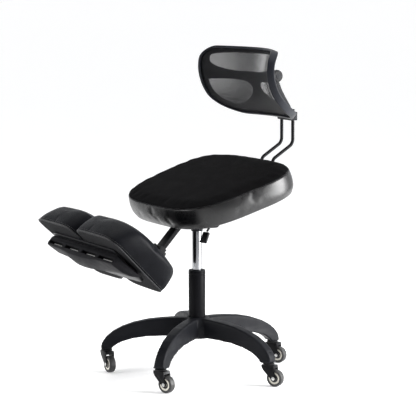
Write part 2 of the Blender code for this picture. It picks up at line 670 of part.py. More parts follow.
# ---------------------------------------------------------------- backrest rods and their clamp under the seat
CLAMP_V = (0.0950, 0.1650)
CLAMP_TOP = BOARD_N - BOARD_T - GAP
ROD_N = -0.0940
clamp = box("rod_clamp", (0.092, CLAMP_V[1] - CLAMP_V[0], 0.0220))
put(clamp, STEEL, seat_frame)
clamp.location = (0, sum(CLAMP_V) / 2, CLAMP_TOP - 0.0110)
add_bevel(clamp, 0.0015, 1)
for side in (-1, 1):
    bore = cylinder("rod_bore", BACK_ROD_R + 0.0004, 0.2, (0, 0, 0), (math.pi / 2, 0, 0), 16)
    put(bore, None, seat_frame)
    bore.location = (side * ROD_X, sum(CLAMP_V) / 2, ROD_N)
    boolean(clamp, bore)
rod_knob = turned("rod_clamp_knob", [(0, 0), (0.0120, 0), (0.0150, -0.0020), (0.0150, -0.0120), (0.0135, -0.0145), (0, -0.0145)], 24)
put(rod_knob, NYLON, seat_frame)
rod_knob.location = (0, sum(CLAMP_V) / 2, CLAMP_TOP - 0.0220 - GAP)

rods_slide = axis_empty("rods_slide_axis", seat_point(0, sum(CLAMP_V) / 2, ROD_N), (SEAT_TILT, 0, 0), seat_axis)
TOP_Z, ROD_Y, BEND_Z = 0.7750, 0.3135, 0.6710
foot = seat_point(0, 0.0750, ROD_N)
heel = seat_point(0, 0.2170, ROD_N)
knee_up = seat_point(0, 0.2170, -0.0190)
path = rounded([(foot.y, foot.z), (heel.y, heel.z), (knee_up.y, knee_up.z), (ROD_Y, BEND_Z), (ROD_Y, TOP_Z)], [0.022, 0.018, 0.024], 5)
for side, name in ((-1, "left"), (1, "right")):
    bar = tube(f"back_rod_{name}", [(side * ROD_X, y, z) for y, z in path], BACK_ROD_R, 2)
    put(bar, STEEL, smooth=True)
    under(rods_slide, bar)

# ---------------------------------------------------------------- backrest carrier on the rods
carrier_axis = axis_empty("carrier_slide_axis", (0, ROD_Y, 0.7540), parent=rods_slide)
ARM_CURVE = [(0.3235, 0.7450), (0.3235, 0.7700), (0.3160, 0.7850), (0.3010, 0.8080), (0.2860, 0.8340), (0.2770, 0.8550), (0.2732, 0.8700)]
hub_ring = []
for i in range(9):
    a = math.radians(-5 + 200 * i / 8)
    hub_ring.append((HINGE[0] + 0.0150 * math.cos(a), HINGE[1] + 0.0150 * math.sin(a)))
ARM_IN = [(0.2470, 0.8580), (0.2600, 0.8360), (0.2770, 0.8100), (0.2910, 0.7880), (0.3035, 0.7690), (0.3035, 0.7450)]
me = outline([ARM_CURVE + hub_ring + ARM_IN], 0.0240)
me.transform(SIDE)
carrier = mesh_obj("back_carrier", me)
put(carrier, NYLON)
block = box("carrier_block", (0.080, 0.0224, 0.0260), (0, ROD_Y, 0.7540))
bpy.context.view_layer.update()
block_bevel = add_bevel(block, 0.0025, 2)
boolean(carrier, block, "UNION")
for side in (-1, 1):
    boolean(carrier, cylinder("rod_bore", BACK_ROD_R + 0.0004, 0.12, (side * ROD_X, ROD_Y, 0.7540), sides=16))
boolean(carrier, cylinder("hinge_bore", 0.0043, 0.06, (0, *HINGE), (0, math.pi / 2, 0), 20))
me = baked(carrier)
carrier = mesh_obj("back_carrier", me)
put(carrier, NYLON, smooth=True)
under(carrier_axis, carrier)

# ---------------------------------------------------------------- backrest: surface that the frame, mesh and spine follow
back_axis = axis_empty("back_tilt_axis", (0, *HINGE), parent=carrier_axis)
CENTRE = [(0.196, 0.9620), (0.182, 0.9300), (0.178, 0.8930), (0.186, 0.8560), (0.204, 0.8170), (0.234, 0.7830), (0.270, 0.7530)]
LENGTHS = [0.0]
for (ya, za), (yb, zb) in zip(CENTRE, CENTRE[1:]):
    LENGTHS.append(LENGTHS[-1] + math.hypot(yb - ya, zb - za))
BACK_H = LENGTHS[-1]


def spline_value(s, k):
    """Smooth value of CENTRE's column k at length s (Catmull-Rom, with straight ends)."""
    s = max(-0.01, min(BACK_H + 0.01, s))
    i = max(0, min(len(LENGTHS) - 2, sum(1 for q in LENGTHS[1:-1] if q <= s)))
    p = [CENTRE[max(0, i - 1)][k], CENTRE[i][k], CENTRE[i + 1][k], CENTRE[min(len(CENTRE) - 1, i + 2)][k]]
    q = [LENGTHS[max(0, i - 1)], LENGTHS[i], LENGTHS[i + 1], LENGTHS[min(len(CENTRE) - 1, i + 2)]]
    if i == 0:
        p[0], q[0] = 2 * p[1] - p[2], 2 * q[1] - q[2]
    if i == len(LENGTHS) - 2:
        p[3], q[3] = 2 * p[2] - p[1], 2 * q[2] - q[1]
    m1 = (p[2] - p[0]) / (q[2] - q[0])
    m2 = (p[3] - p[1]) / (q[3] - q[1])
    h = q[2] - q[1]
    t = (s - q[1]) / h
    return ((2 * t ** 3 - 3 * t ** 2 + 1) * p[1] + (t ** 3 - 2 * t ** 2 + t) * h * m1
            + (-2 * t ** 3 + 3 * t ** 2) * p[2] + (t ** 3 - t ** 2) * h * m2)


def on_back(x, s):
    sag = 1.50 - 0.25 * max(0.0, s - 0.12) / 0.12
    return Vector((x, spline_value(s, 0) - sag * x * x, spline_value(s, 1)))


def back_point(x, s, d):
    """A point d behind the surface at x across and s down from the top edge."""
    e = 0.002
    across = on_back(x + e, s) - on_back(x - e, s)
    down = on_back(x, s + e) - on_back(x, s - e)
    normal = across.cross(down).normalized()
    if normal.y < 0:
        normal = -normal
    return on_back(x, s) + normal * d


def back_outline(inset=0.0, per_corner=10):
    """Rounded frame outline in (x, s), smaller by inset; the same number of points whatever the inset."""
    w, top, bottom = BACK_HALF_W - inset, inset, BACK_H - inset
    rt, rb = 0.046 - inset, 0.085 - inset
    corners = [(w - rb, bottom - rb, rb, 90, 0), (w - rt, top + rt, rt, 0, -90), (-w + rt, top + rt, rt, -90, -180),
               (-w + rb, bottom - rb, rb, 180, 90)]
    arcs = []
    for cx, cy, r, a0, a1 in corners:
        turn = [math.radians(a0 + (a1 - a0) * i / (per_corner - 1)) for i in range(per_corner)]
        arcs.append([(cx + r * math.cos(a), cy + r * math.sin(a)) for a in turn])
    pts = []
    for arc, following, count in zip(arcs, arcs[1:] + arcs[:1], (8, 20, 8, 15)):
        pts += arc
        (xa, ya), (xb, yb) = arc[-1], following[0]
        pts += [(xa + (xb - xa) * j / count, ya + (yb - ya) * j / count) for j in range(1, count)]
    return pts


RIM_IN, RIM_FRONT, RIM_BACK = 0.0080, -0.0020, 0.0200
bm = bmesh.new()
loops = []
for inset, depth in ((0.0, RIM_FRONT), (0.0, RIM_BACK), (RIM_IN, RIM_BACK), (RIM_IN, RIM_FRONT)):
    loops.append([bm.verts.new(back_point(x, s, depth)) for x, s in back_outline(inset)])
for one, two in zip(loops, loops[1:] + loops[:1]):
    for i in range(len(one)):
        j = (i + 1) % len(one)
        bm.faces.new((one[i], one[j], two[j], two[i]))
bmesh.ops.recalc_face_normals(bm, faces=bm.faces)
me = bpy.data.meshes.new("back_frame")
bm.to_mesh(me)
bm.free()
frame = mesh_obj("back_frame", me)
put(frame, NYLON, smooth=True)
under(back_axis, frame)

# mesh sheet: a square grid drawn out to the frame's inner outline
bm = bmesh.new()
GX, GY = 16, 12
bmesh.ops.create_grid(bm, x_segments=GX, y_segments=GY, size=1.0)
inner_w, inner_top, inner_bottom = BACK_HALF_W - RIM_IN - 0.0010, RIM_IN + 0.0010, BACK_H - RIM_IN - 0.0010


def inner_edge(a, b):
    """Where the ray from the middle through (a, b) of the unit square meets the inner outline."""
    mid_s = (inner_top + inner_bottom) / 2
    half_s = (inner_bottom - inner_top) / 2
    x, s = a * inner_w, mid_s + b * half_s
    rt, rb = 0.046 - RIM_IN - 0.0010, 0.085 - RIM_IN - 0.0010
    lo, hi = 0.0, 1.0
    for _ in range(40):
        k = (lo + hi) / 2
        px, ps = x * k, mid_s + (s - mid_s) * k
        r = rb if ps > mid_s else rt
        dx = max(0.0, abs(px) - (inner_w - r))
        ds = max(0.0, (ps - (inner_bottom - r)) if ps > mid_s else ((inner_top + r) - ps))
        inside = abs(px) <= inner_w and inner_top <= ps <= inner_bottom and (dx == 0 or ds == 0 or math.hypot(dx, ds) <= r)
        lo, hi = (k, hi) if inside else (lo, k)
    return x * lo, mid_s + (s - mid_s) * lo


for v in bm.verts:
    a, b = v.co.x, v.co.y
    m = max(abs(a), abs(b))
    if m < 1e-9:
        ex, es = 0.0, (inner_top + inner_bottom) / 2
    else:
        bx, bs = inner_edge(a / m, b / m)
        mid_s = (inner_top + inner_bottom) / 2
        ex, es = bx * m, mid_s + (bs - mid_s) * m
    v.co = back_point(ex, es, 0.0040)
bmesh.ops.recalc_face_normals(bm, faces=bm.faces)
me = bpy.data.meshes.new("back_mesh")
bm.to_mesh(me)
bm.free()
sheet = mesh_obj("back_mesh", me)
put(sheet, MESH, smooth=True)
under(back_axis, sheet)
skin = sheet.modifiers.new("thickness", "SOLIDIFY")
skin.thickness = 0.0012
skin.offset = 0.0

# spine: moulded panel behind the mesh with three windows, and two cheeks that hold the hinge pin
WINDOW_TOP = [(-0.1738, 0.0397), (-0.1736, 0.0283), (-0.1657, 0.0216), (-0.1257, 0.0169), (-0.0575, 0.0140), (0.0, 0.0138)]
WINDOW_TOP_LOW = [(0.0, 0.0776), (-0.0370, 0.0788), (-0.0747, 0.0790), (-0.1219, 0.0727), (-0.1523, 0.0632), (-0.1704, 0.0512)]
WINDOW_LEFT = [(-0.1826, 0.1166), (-0.1752, 0.1092), (-0.1221, 0.1065), (-0.0595, 0.1076), (-0.0339, 0.1145), (-0.0218, 0.1257), (-0.0237, 0.1429),
               (-0.0480, 0.1664), (-0.0897, 0.1935), (-0.1268, 0.2133), (-0.1497, 0.2180), (-0.1690, 0.2070), (-0.1805, 0.1841), (-0.1838, 0.1495)]


def smooth_loop(points, steps=3):
    """Closed curve through the points (Catmull-Rom)."""
    out = []
    n = len(points)
    for i in range(n):
        a, b, c, d = (Vector(points[(i + k) % n]) for k in (-1, 0, 1, 2))
        for j in range(steps):
            t = j / steps
            q = 0.5 * (2 * b + (c - a) * t + (2 * a - 5 * b + 4 * c - d) * t * t + (3 * b - a - 3 * c + d) * t ** 3)
            out.append((q.x, q.y))
    return out


mirrored = [(-x, s) for x, s in reversed(WINDOW_TOP[:-1])] + [(-x, s) for x, s in reversed(WINDOW_TOP_LOW[1:])]
upper = smooth_loop(WINDOW_TOP + mirrored + WINDOW_TOP_LOW, 2)
lower_left = smooth_loop(WINDOW_LEFT)
lower_right = [(-x, s) for x, s in reversed(lower_left)]
me = outline([back_outline(RIM_IN + 0.0010, 7), upper, lower_left, lower_right], 0.0050)
bm = bmesh.new()
bm.from_mesh(me)
for axis, first, last in ((0, -0.180, 0.181), (1, 0.018, 0.235)):
    cut = first
    while cut < last:
        no, co = [0, 0, 0], [0, 0, 0]
        no[axis], co[axis] = 1, cut + 0.00037
        bmesh.ops.bisect_plane(bm, geom=bm.verts[:] + bm.edges[:] + bm.faces[:], dist=1e-6, plane_co=co, plane_no=no)
        cut += 0.018
for v in bm.verts:
    v.co = back_point(v.co.x, v.co.y, 0.0130 + v.co.z)
bmesh.ops.triangulate(bm, faces=bm.faces)
bmesh.ops.recalc_face_normals(bm, faces=bm.faces)
me = bpy.data.meshes.new("back_spine")
bm.to_mesh(me)
bm.free()
spine = mesh_obj("back_spine", me)
put(spine, NYLON)
cheek = [(0.1930, 0.8815)]
for i in range(9):
    a = math.radians(80 - 170 * i / 8)
    cheek.append((HINGE[0] + 0.0145 * math.cos(a), HINGE[1] + 0.0145 * math.sin(a)))
cheek += [(0.2350, 0.8560), (0.1980, 0.8590)]
for side in (-1, 1):
    me = outline([cheek], 0.0060)
    me.transform(SIDE)
    me.transform(Matrix.Translation((side * (0.0120 + GAP + 0.0030), 0, 0)))
    boolean(spine, mesh_obj("cheek", me), "UNION")
boolean(spine, cylinder("hinge_bore", 0.0043, 0.06, (0, *HINGE), (0, math.pi / 2, 0), 20))
me = baked(spine)
spine = mesh_obj("back_spine", me)
put(spine, NYLON, smooth=True)
under(back_axis, spine)

pin = turned("back_pin", [(0, 0.0190), (0.0040, 0.0190), (0.0040, -0.0188), (0.0078, -0.0188), (0.0078, -0.0222), (0.0066, -0.0232), (0, -0.0232)], 20)
put(pin, ZINC, back_axis)
pin.rotation_euler = (0, math.pi / 2, 0)
knob = turned("back_knob", [(0, 0.0345), (0.0140, 0.0345), (0.0175, 0.0330), (0.0190, 0.0300), (0.0190, 0.0240), (0.0165, 0.0205),
                            (0.0110, 0.0193), (0, 0.0193)], 28)
put(knob, GRIP, back_axis)
knob.rotation_euler = (0, math.pi / 2, 0)

# tray stiffener: a flat bar behind the slots is part of the tray; its bright face is the insert below
for i, x in enumerate(SLOT_X, 1):
    insert = box(f"tray_insert_{i}", (0.0870, 0.0030, 0.0085))
    knee(insert, ZINC)
    insert.location = (x, TRAY_L[0] + 0.0200 - 0.0018 - GAP - POST_L, 0.0350 - 0.12)
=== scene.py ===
import bpy
import bmesh
import json
import math
from mathutils import Matrix, Vector, noise
from mathutils.bvhtree import BVHTree

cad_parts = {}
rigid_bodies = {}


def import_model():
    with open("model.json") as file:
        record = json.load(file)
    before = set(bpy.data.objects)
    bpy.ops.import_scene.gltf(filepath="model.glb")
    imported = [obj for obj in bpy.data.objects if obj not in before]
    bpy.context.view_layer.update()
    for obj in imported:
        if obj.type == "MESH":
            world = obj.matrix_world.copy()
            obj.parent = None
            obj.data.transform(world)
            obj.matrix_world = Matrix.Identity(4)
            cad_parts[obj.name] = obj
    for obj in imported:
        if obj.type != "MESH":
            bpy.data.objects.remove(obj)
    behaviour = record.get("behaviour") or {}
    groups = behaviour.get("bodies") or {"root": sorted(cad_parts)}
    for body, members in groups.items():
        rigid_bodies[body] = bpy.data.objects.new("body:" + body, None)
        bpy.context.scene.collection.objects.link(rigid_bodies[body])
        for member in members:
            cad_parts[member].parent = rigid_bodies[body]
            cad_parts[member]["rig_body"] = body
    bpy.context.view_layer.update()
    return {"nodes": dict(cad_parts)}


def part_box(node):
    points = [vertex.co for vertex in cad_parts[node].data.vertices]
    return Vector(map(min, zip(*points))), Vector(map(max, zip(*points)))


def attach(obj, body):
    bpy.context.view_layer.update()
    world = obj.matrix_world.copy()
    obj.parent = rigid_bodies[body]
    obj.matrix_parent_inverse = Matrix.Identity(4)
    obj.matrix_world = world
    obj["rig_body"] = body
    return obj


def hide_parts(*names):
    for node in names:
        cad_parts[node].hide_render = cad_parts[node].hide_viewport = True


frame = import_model()
NODES = frame["nodes"]
scene = bpy.context.scene
root = scene.collection


# ================================================================ camera, at the photograph's angle
A, D, H, P, X0 = math.radians(60), 5.2, 1.188, math.radians(7.61), -0.0327
RT = Vector((math.cos(A), math.sin(A), 0.0))
AW = Vector((-math.sin(A), math.cos(A), 0.0))
at = -X0 * RT - D * AW + Vector((0, 0, H))
forward = AW * math.cos(P) + Vector((0, 0, -math.sin(P)))
up = RT.cross(forward)
cam_data = bpy.data.cameras.new("camera")
cam_data.lens, cam_data.sensor_width, cam_data.clip_end = 154.2, 36.0, 400.0
camera = bpy.data.objects.new("camera", cam_data)
camera.matrix_world = Matrix(((RT.x, up.x, -forward.x, at.x), (RT.y, up.y, -forward.y, at.y),
                              (RT.z, up.z, -forward.z, at.z), (0, 0, 0, 1)))
root.objects.link(camera)
scene.camera = camera
scene.view_settings.view_transform = "Standard"


# ================================================================ node materials
class Look:
    """A node material: one principled shader, with helpers for what feeds it."""

    def __init__(self, name, colour, rough, metal=0.0, specular=0.5, ior=1.5, coat=0.0, coat_rough=0.2, sheen=0.0):
        self.m = bpy.data.materials.new(name)
        self.m.use_nodes = True
        self.t = self.m.node_tree
        self.t.nodes.clear()
        self.out = self.t.nodes.new("ShaderNodeOutputMaterial")
        self.s = self.t.nodes.new("ShaderNodeBsdfPrincipled")
        self.t.links.new(self.s.outputs[0], self.out.inputs[0])
        self.s.inputs["Base Color"].default_value = (*colour, 1)
        self.s.inputs["Roughness"].default_value = rough
        self.s.inputs["Metallic"].default_value = metal
        self.s.inputs["IOR"].default_value = ior
        self.s.inputs["Specular IOR Level"].default_value = specular
        self.s.inputs["Coat Weight"].default_value = coat
        self.s.inputs["Coat Roughness"].default_value = coat_rough
        self.s.inputs["Sheen Weight"].default_value = sheen
        self.m.diffuse_color = (*colour, 1)
        self.coords = self.node("ShaderNodeTexCoord").outputs["Object"]
        self.last_bump = None

    def node(self, kind, **values):
        n = self.t.nodes.new(kind)
        for key, value in values.items():
            if hasattr(n, key):
                setattr(n, key, value)
            else:
                n.inputs[key.replace("_", " ")].default_value = value
        return n

    def link(self, a, b):
        self.t.links.new(a, b)
        return b

    def noise(self, scale, detail=3.0, rough=0.55, stretch=None, distortion=0.0):
        source = self.coords
        if stretch:
            mapping = self.node("ShaderNodeMapping")
            mapping.inputs["Scale"].default_value = stretch
            self.link(source, mapping.inputs[0])
            source = mapping.outputs[0]
        n = self.node("ShaderNodeTexNoise")
        n.inputs["Scale"].default_value = scale
        n.inputs["Detail"].default_value = detail
        n.inputs["Roughness"].default_value = rough
        n.inputs["Distortion"].default_value = distortion
        self.link(source, n.inputs["Vector"])
        return n.outputs["Fac"]

    def cells(self, scale, feature="F1", randomness=1.0):
        n = self.node("ShaderNodeTexVoronoi")
        n.feature = feature
        n.inputs["Scale"].default_value = scale
        n.inputs["Randomness"].default_value = randomness
        self.link(self.coords, n.inputs["Vector"])
        return n.outputs["Distance"]

    def maths(self, op, a, b=None, c=None, clamp=False):
        n = self.node("ShaderNodeMath")
        n.operation, n.use_clamp = op, clamp
        for socket, value in zip(n.inputs, (a, b, c)):
            if value is None:
                continue
            if isinstance(value, (int, float)):
                socket.default_value = value
            else:
                self.link(value, socket)
        return n.outputs[0]

    def spread(self, source, low, high, at0=0.0, at1=1.0):
        n = self.node("ShaderNodeMapRange")
        n.clamp = True
        for key, value in (("From Min", low), ("From Max", high), ("To Min", at0), ("To Max", at1)):
            n.inputs[key].default_value = value
        self.link(source, n.inputs["Value"])
        return n.outputs[0]

    def mix(self, factor, a, b):
        n = self.node("ShaderNodeMix")
        n.data_type = "RGBA"
        self.link(factor, n.inputs["Factor"])
        for socket, value in ((n.inputs["A"], a), (n.inputs["B"], b)):
            if isinstance(value, tuple):
                [s for s in n.inputs if s.name == socket.name and s.type == "RGBA"][0].default_value = (*value, 1)
            else:
                self.link(value, [s for s in n.inputs if s.name == socket.name and s.type == "RGBA"][0])
        return [o for o in n.outputs if o.type == "RGBA"][0]

    def colour(self, source):
        self.link(source, self.s.inputs["Base Color"])
        return self

    def rough(self, source):
        self.link(source, self.s.inputs["Roughness"])
        return self

    def bump(self, height, strength, distance):
        n = self.node("ShaderNodeBump")
        n.inputs["Strength"].default_value = strength
        n.inputs["Distance"].default_value = distance
        self.link(height, n.inputs["Height"])
        if self.last_bump is not None:
            self.link(self.last_bump, n.inputs["Normal"])
        self.last_bump = n.outputs[0]
        self.link(self.last_bump, self.s.inputs["Normal"])
        return self

    def edge_wear_and_highlight(self, base, wear_and_highlight, low=0.53, high=0.62):
        """Paler where an edge stands out, broken up by noise: edge wear together with a painted edge highlight."""
        geometry = self.node("ShaderNodeNewGeometry")
        edge = self.spread(geometry.outputs["Pointiness"], low, high)
        edge = self.maths("MULTIPLY", edge, self.spread(self.noise(60, 4), 0.40, 0.62))
        return self.mix(edge, base, wear_and_highlight)


def moulded(name, dark, light, rough=0.40, grain=1000, specular=0.5, wear_and_highlight=(0.060, 0.062, 0.067)):
    """Moulded nylon: a fine spark-eroded grain, slight flow marks, edges a little paler, partly from handling and
    partly as a painted highlight.
    """
    k = Look(name, dark, rough, specular=specular)
    flow = k.noise(9, 4, 0.6)
    tone = k.mix(k.spread(flow, 0.35, 0.68), dark, light)
    # edges paler: handling wear together with a painted edge highlight
    k.colour(k.edge_wear_and_highlight(tone, wear_and_highlight))
    k.rough(k.spread(k.noise(34, 5), 0.3, 0.7, rough - 0.06, rough + 0.09))
    k.bump(k.noise(grain, 2, 0.6), 0.22, 0.00035)
    return k.m


def painted(name, dark, rough=0.34, specular=0.5):
    """Powder-coated steel: soft orange peel, tiny specks, edges brighter, partly rubbed and partly a painted highlight.
    """
    k = Look(name, dark, rough, specular=specular)
    speck = k.spread(k.noise(700, 1, 0.5), 0.62, 0.72)
    tone = k.mix(speck, dark, tuple(c * 1.9 + 0.004 for c in dark))
    # edges brighter: rubbed wear together with a painted edge highlight
    k.colour(k.edge_wear_and_highlight(tone, (0.085, 0.087, 0.090), 0.55, 0.66))
    k.rough(k.spread(k.noise(22, 4), 0.3, 0.7, rough - 0.05, rough + 0.08))
    k.bump(k.noise(420, 2, 0.5), 0.16, 0.0005)
    return k.m


def upholstery(name, dark, light, rough, grain=520, depth=0.00045, strength=0.5, coat=0.0, coat_rough=0.3, specular=0.5, crumple=0.0):
    """Coated cover cloth: pebbled grain of two sizes with creases between, duller in the hollows."""
    k = Look(name, dark, rough, specular=specular, coat=coat, coat_rough=coat_rough)
    pebble = k.spread(k.cells(grain, "DISTANCE_TO_EDGE"), 0.0, 0.32)
    fine = k.noise(grain * 2.6, 2, 0.6)
    height = k.maths("ADD", pebble, k.maths("MULTIPLY", fine, 0.35))
    tone = k.mix(k.spread(k.noise(13, 5, 0.6), 0.34, 0.68), dark, light)
    k.colour(k.mix(pebble, tuple(c * 0.55 for c in dark), tone))
    gloss = k.spread(k.noise(26, 4, 0.55), 0.30, 0.70, rough - 0.05, rough + 0.07)
    k.rough(k.maths("ADD", gloss, k.spread(pebble, 0.0, 0.5, 0.10, 0.0)))
    if crumple:
        k.bump(k.noise(46, 3, 0.5, distortion=0.6), crumple, 0.0022)
    k.bump(height, strength, depth)
    return k.m


# the last colour of each is the paler edge tone: wear together with a painted edge highlight
NYLON = moulded("moulded_nylon", (0.0060, 0.0064, 0.0080), (0.0095, 0.0100, 0.0125), 0.46, specular=0.09, wear_and_highlight=(0.030, 0.032, 0.036))
NYLON_BACK = moulded("moulded_nylon_back", (0.0070, 0.0076, 0.0110), (0.0110, 0.0125, 0.0170), 0.40, specular=0.16, wear_and_highlight=(0.040, 0.044, 0.056))
NYLON_KNEE = moulded("moulded_tray", (0.0060, 0.0060, 0.0072), (0.0085, 0.0085, 0.0100), 0.55, specular=0.07, wear_and_highlight=(0.024, 0.024, 0.026))
PAINT = painted("powder_coat", (0.006, 0.006, 0.007), 0.33, specular=0.08)
PAINT_TUBE = painted("tube_paint", (0.0045, 0.0045, 0.0055), 0.36, specular=0.04)
SEAT_TOP = upholstery("seat_top_cover", (0.0030, 0.0029, 0.0033), (0.0046, 0.0044, 0.0049), 0.90, 470, 0.0004, 0.45, specular=0.05)
SEAT_BAND = upholstery("seat_band_cover", (0.0020, 0.0020, 0.0025), (0.0032, 0.0032, 0.0038), 0.27, 560, 0.0002, 0.25,
                       coat=0.0, coat_rough=0.30, specular=0.46, crumple=0.02)
PAD_COVER = upholstery("pad_cover", (0.0036, 0.0040, 0.0058), (0.0056, 0.0062, 0.0086), 0.40, 540, 0.00025, 0.30,
                       coat=0.0, coat_rough=0.32, specular=0.07, crumple=0.05)
PIPING = upholstery("piping_cover", (0.0055, 0.0060, 0.0075), (0.0080, 0.0086, 0.0105), 0.42, 700, 0.0002, 0.3, specular=0.3)

k = Look("chromed_steel", (0.78, 0.79, 0.81), 0.08, metal=1.0)
k.rough(k.spread(k.noise(30, 5, 0.6, stretch=(1, 1, 0.15)), 0.35, 0.75, 0.04, 0.12))
k.colour(k.mix(k.spread(k.noise(14, 5), 0.45, 0.75), (0.25, 0.255, 0.265), (0.20, 0.20, 0.21)))
k.bump(k.noise(900, 1, 0.5, stretch=(1, 1, 4)), 0.03, 0.0001)
CHROME = k.m

k = Look("zinc_plate", (0.56, 0.56, 0.55), 0.30, metal=1.0)
k.colour(k.mix(k.spread(k.noise(160, 4, 0.7), 0.35, 0.7), (0.60, 0.60, 0.59), (0.40, 0.40, 0.40)))
k.rough(k.spread(k.noise(260, 3), 0.3, 0.7, 0.22, 0.42))
k.bump(k.noise(800, 2), 0.12, 0.0002)
ZINC = k.m
STEM = painted("stem_black_zinc", (0.012, 0.012, 0.013), 0.40, specular=0.10)

k = Look("wheel_cream", (0.72, 0.69, 0.61), 0.42)
k.colour(k.mix(k.spread(k.noise(90, 5, 0.65), 0.45, 0.75), (0.74, 0.71, 0.63), (0.52, 0.49, 0.43)))
k.rough(k.spread(k.noise(140, 3), 0.3, 0.7, 0.34, 0.52))
k.bump(k.noise(700, 2), 0.12, 0.0002)
CREAM = k.m

k = Look("tyre_rubber", (0.016, 0.016, 0.017), 0.50)
dust = k.spread(k.noise(70, 6, 0.7), 0.46, 0.72)
k.colour(k.mix(dust, (0.014, 0.014, 0.015), (0.045, 0.044, 0.042)))
k.rough(k.spread(dust, 0.0, 1.0, 0.42, 0.70))
k.bump(k.noise(600, 3, 0.6), 0.20, 0.0003)
TYRE = k.m

k = Look("wheel_shield", (0.020, 0.020, 0.022), 0.45)
k.colour(k.mix(k.spread(k.noise(200, 4), 0.4, 0.7), (0.016, 0.016, 0.018), (0.040, 0.040, 0.041)))
k.bump(k.noise(900, 2), 0.15, 0.0002)
SHIELD = k.m

k = Look("pale_insert", (0.70, 0.70, 0.69), 0.38)
k.colour(k.mix(k.spread(k.noise(60, 5), 0.4, 0.75), (0.74, 0.74, 0.73), (0.55, 0.55, 0.54)))
k.rough(k.spread(k.noise(200, 3), 0.3, 0.7, 0.30, 0.48))
k.bump(k.noise(500, 2), 0.10, 0.0003)
INSERT = k.m

k = Look("grip_rubber", (0.010, 0.010, 0.012), 0.52, specular=0.12)
# edges paler: wear together with a painted edge highlight
k.colour(k.edge_wear_and_highlight(k.mix(k.spread(k.noise(80, 4), 0.35, 0.7), (0.007, 0.007, 0.008), (0.012, 0.012, 0.014)), (0.034, 0.034, 0.036)))
k.rough(k.spread(k.noise(50, 4), 0.3, 0.7, 0.44, 0.62))
k.bump(k.cells(1100), 0.25, 0.0003)
GRIP = k.m

k = Look("under_cloth", (0.010, 0.010, 0.011), 0.92, specular=0.1)
fibre = k.maths("ADD", k.noise(900, 3, 0.7, stretch=(1, 0.18, 1)), k.noise(900, 3, 0.7, stretch=(0.18, 1, 1)))
k.colour(k.mix(k.spread(fibre, 0.8, 1.25), (0.005, 0.005, 0.006), (0.016, 0.016, 0.017)))
k.bump(fibre, 0.5, 0.0004)
UNDER = k.m

k = Look("thread", (0.020, 0.020, 0.022), 0.60, sheen=0.2)
twist = k.noise(2600, 2, 0.5)
k.colour(k.mix(twist, (0.014, 0.014, 0.016), (0.040, 0.040, 0.043)))
k.bump(twist, 0.4, 0.0002)
THREAD = k.m


def net():
    """Knitted net: two crossing threads every 2.4 mm, thicker where they knot, clear between."""
    k = Look("backrest_net", (0.010, 0.010, 0.012), 0.72, specular=0.15, sheen=0.05)
    uv = k.node("ShaderNodeUVMap")
    uv.uv_map = "weave"
    parts = k.node("ShaderNodeSeparateXYZ")
    k.link(uv.outputs[0], parts.inputs[0])
    u, v = parts.outputs[0], parts.outputs[1]
    wobble = k.maths("MULTIPLY", k.maths("SUBTRACT", k.noise(130, 2), 0.5), 0.0009)
    u = k.maths("ADD", u, wobble)
    v = k.maths("ADD", v, wobble)
    pitch = 0.0024

    def thread(way, width):
        place = k.maths("ABSOLUTE", k.maths("SUBTRACT", k.maths("FRACT", k.maths("DIVIDE", way, pitch)), 0.5))
        return k.spread(place, 0.5 - width / 2 - 0.07, 0.5 - width / 2, 0.0, 1.0)

    one, two = thread(u, 0.34), thread(v, 0.23)
    cross = k.maths("MULTIPLY", thread(u, 0.52), thread(v, 0.44))
    cover = k.maths("MAXIMUM", k.maths("MAXIMUM", one, two), cross)
    k.link(cover, k.s.inputs["Alpha"])
    k.colour(k.mix(cross, (0.0070, 0.0070, 0.0085), (0.014, 0.014, 0.017)))
    k.rough(k.spread(k.noise(300, 2), 0.3, 0.7, 0.58, 0.76))
    k.bump(k.maths("ADD", k.maths("MAXIMUM", one, two), k.maths("MULTIPLY", cross, 0.6)), 0.6, 0.0005)
    return k.m


NET = net()

k = Look("floor", (0.90, 0.90, 0.90), 0.85, specular=0.1)
k.colour(k.mix(k.noise(1.3, 2), (0.895, 0.895, 0.895), (0.915, 0.915, 0.915)))
k.s.inputs["Emission Color"].default_value = (1.0, 1.0, 1.0, 1)
k.s.inputs["Emission Strength"].default_value = 0.22
FLOOR = k.m


# ================================================================ making and placing pieces
def piece(name, me, mats, body, replaced=(), smooth=True, sharp=None):
    obj = bpy.data.objects.new(name, me)
    root.objects.link(obj)
    me.materials.clear()
    for m in (mats if isinstance(mats, (list, tuple)) else [mats]):
        me.materials.append(m)
    if smooth:
        me.polygons.foreach_set("use_smooth", [True] * len(me.polygons))
        if sharp:
            me.set_sharp_from_angle(angle=math.radians(sharp))
    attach(obj, body)
    if replaced:
        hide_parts(*([replaced] if isinstance(replaced, str) else replaced))
    return obj


def body_of(node):
    return NODES[node]["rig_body"]


def from_bm(name, bm, outward=True):
    if outward:
        bmesh.ops.recalc_face_normals(bm, faces=bm.faces)
    me = bpy.data.meshes.new(name)
    bm.to_mesh(me)
    bm.free()
    return me


def applied(obj):
    """The object's mesh with its modifiers in it; the modifiers are dropped."""
    dg = bpy.context.evaluated_depsgraph_get()
    me = bpy.data.meshes.new_from_object(obj.evaluated_get(dg), depsgraph=dg)
    name = obj.data.name
    obj.modifiers.clear()
    obj.data = me
    me.name = name
    return me


def loops_mesh(name, loops, closed=True, caps=(False, False)):
    """Quads between loops of points; closed joins the last loop to the first."""
    bm = bmesh.new()
    rows = [[bm.verts.new(p) for p in loop] for loop in loops]
    pairs = list(zip(rows, rows[1:] + rows[:1])) if closed else list(zip(rows, rows[1:]))
    for one, two in pairs:
        n = len(one)
        for i in range(n):
            bm.faces.new((one[i], one[(i + 1) % n], two[(i + 1) % n], two[i]))
    if caps[0]:
        bm.faces.new(list(reversed(rows[0])))
    if caps[1]:
        bm.faces.new(rows[-1])
    return from_bm(name, bm)


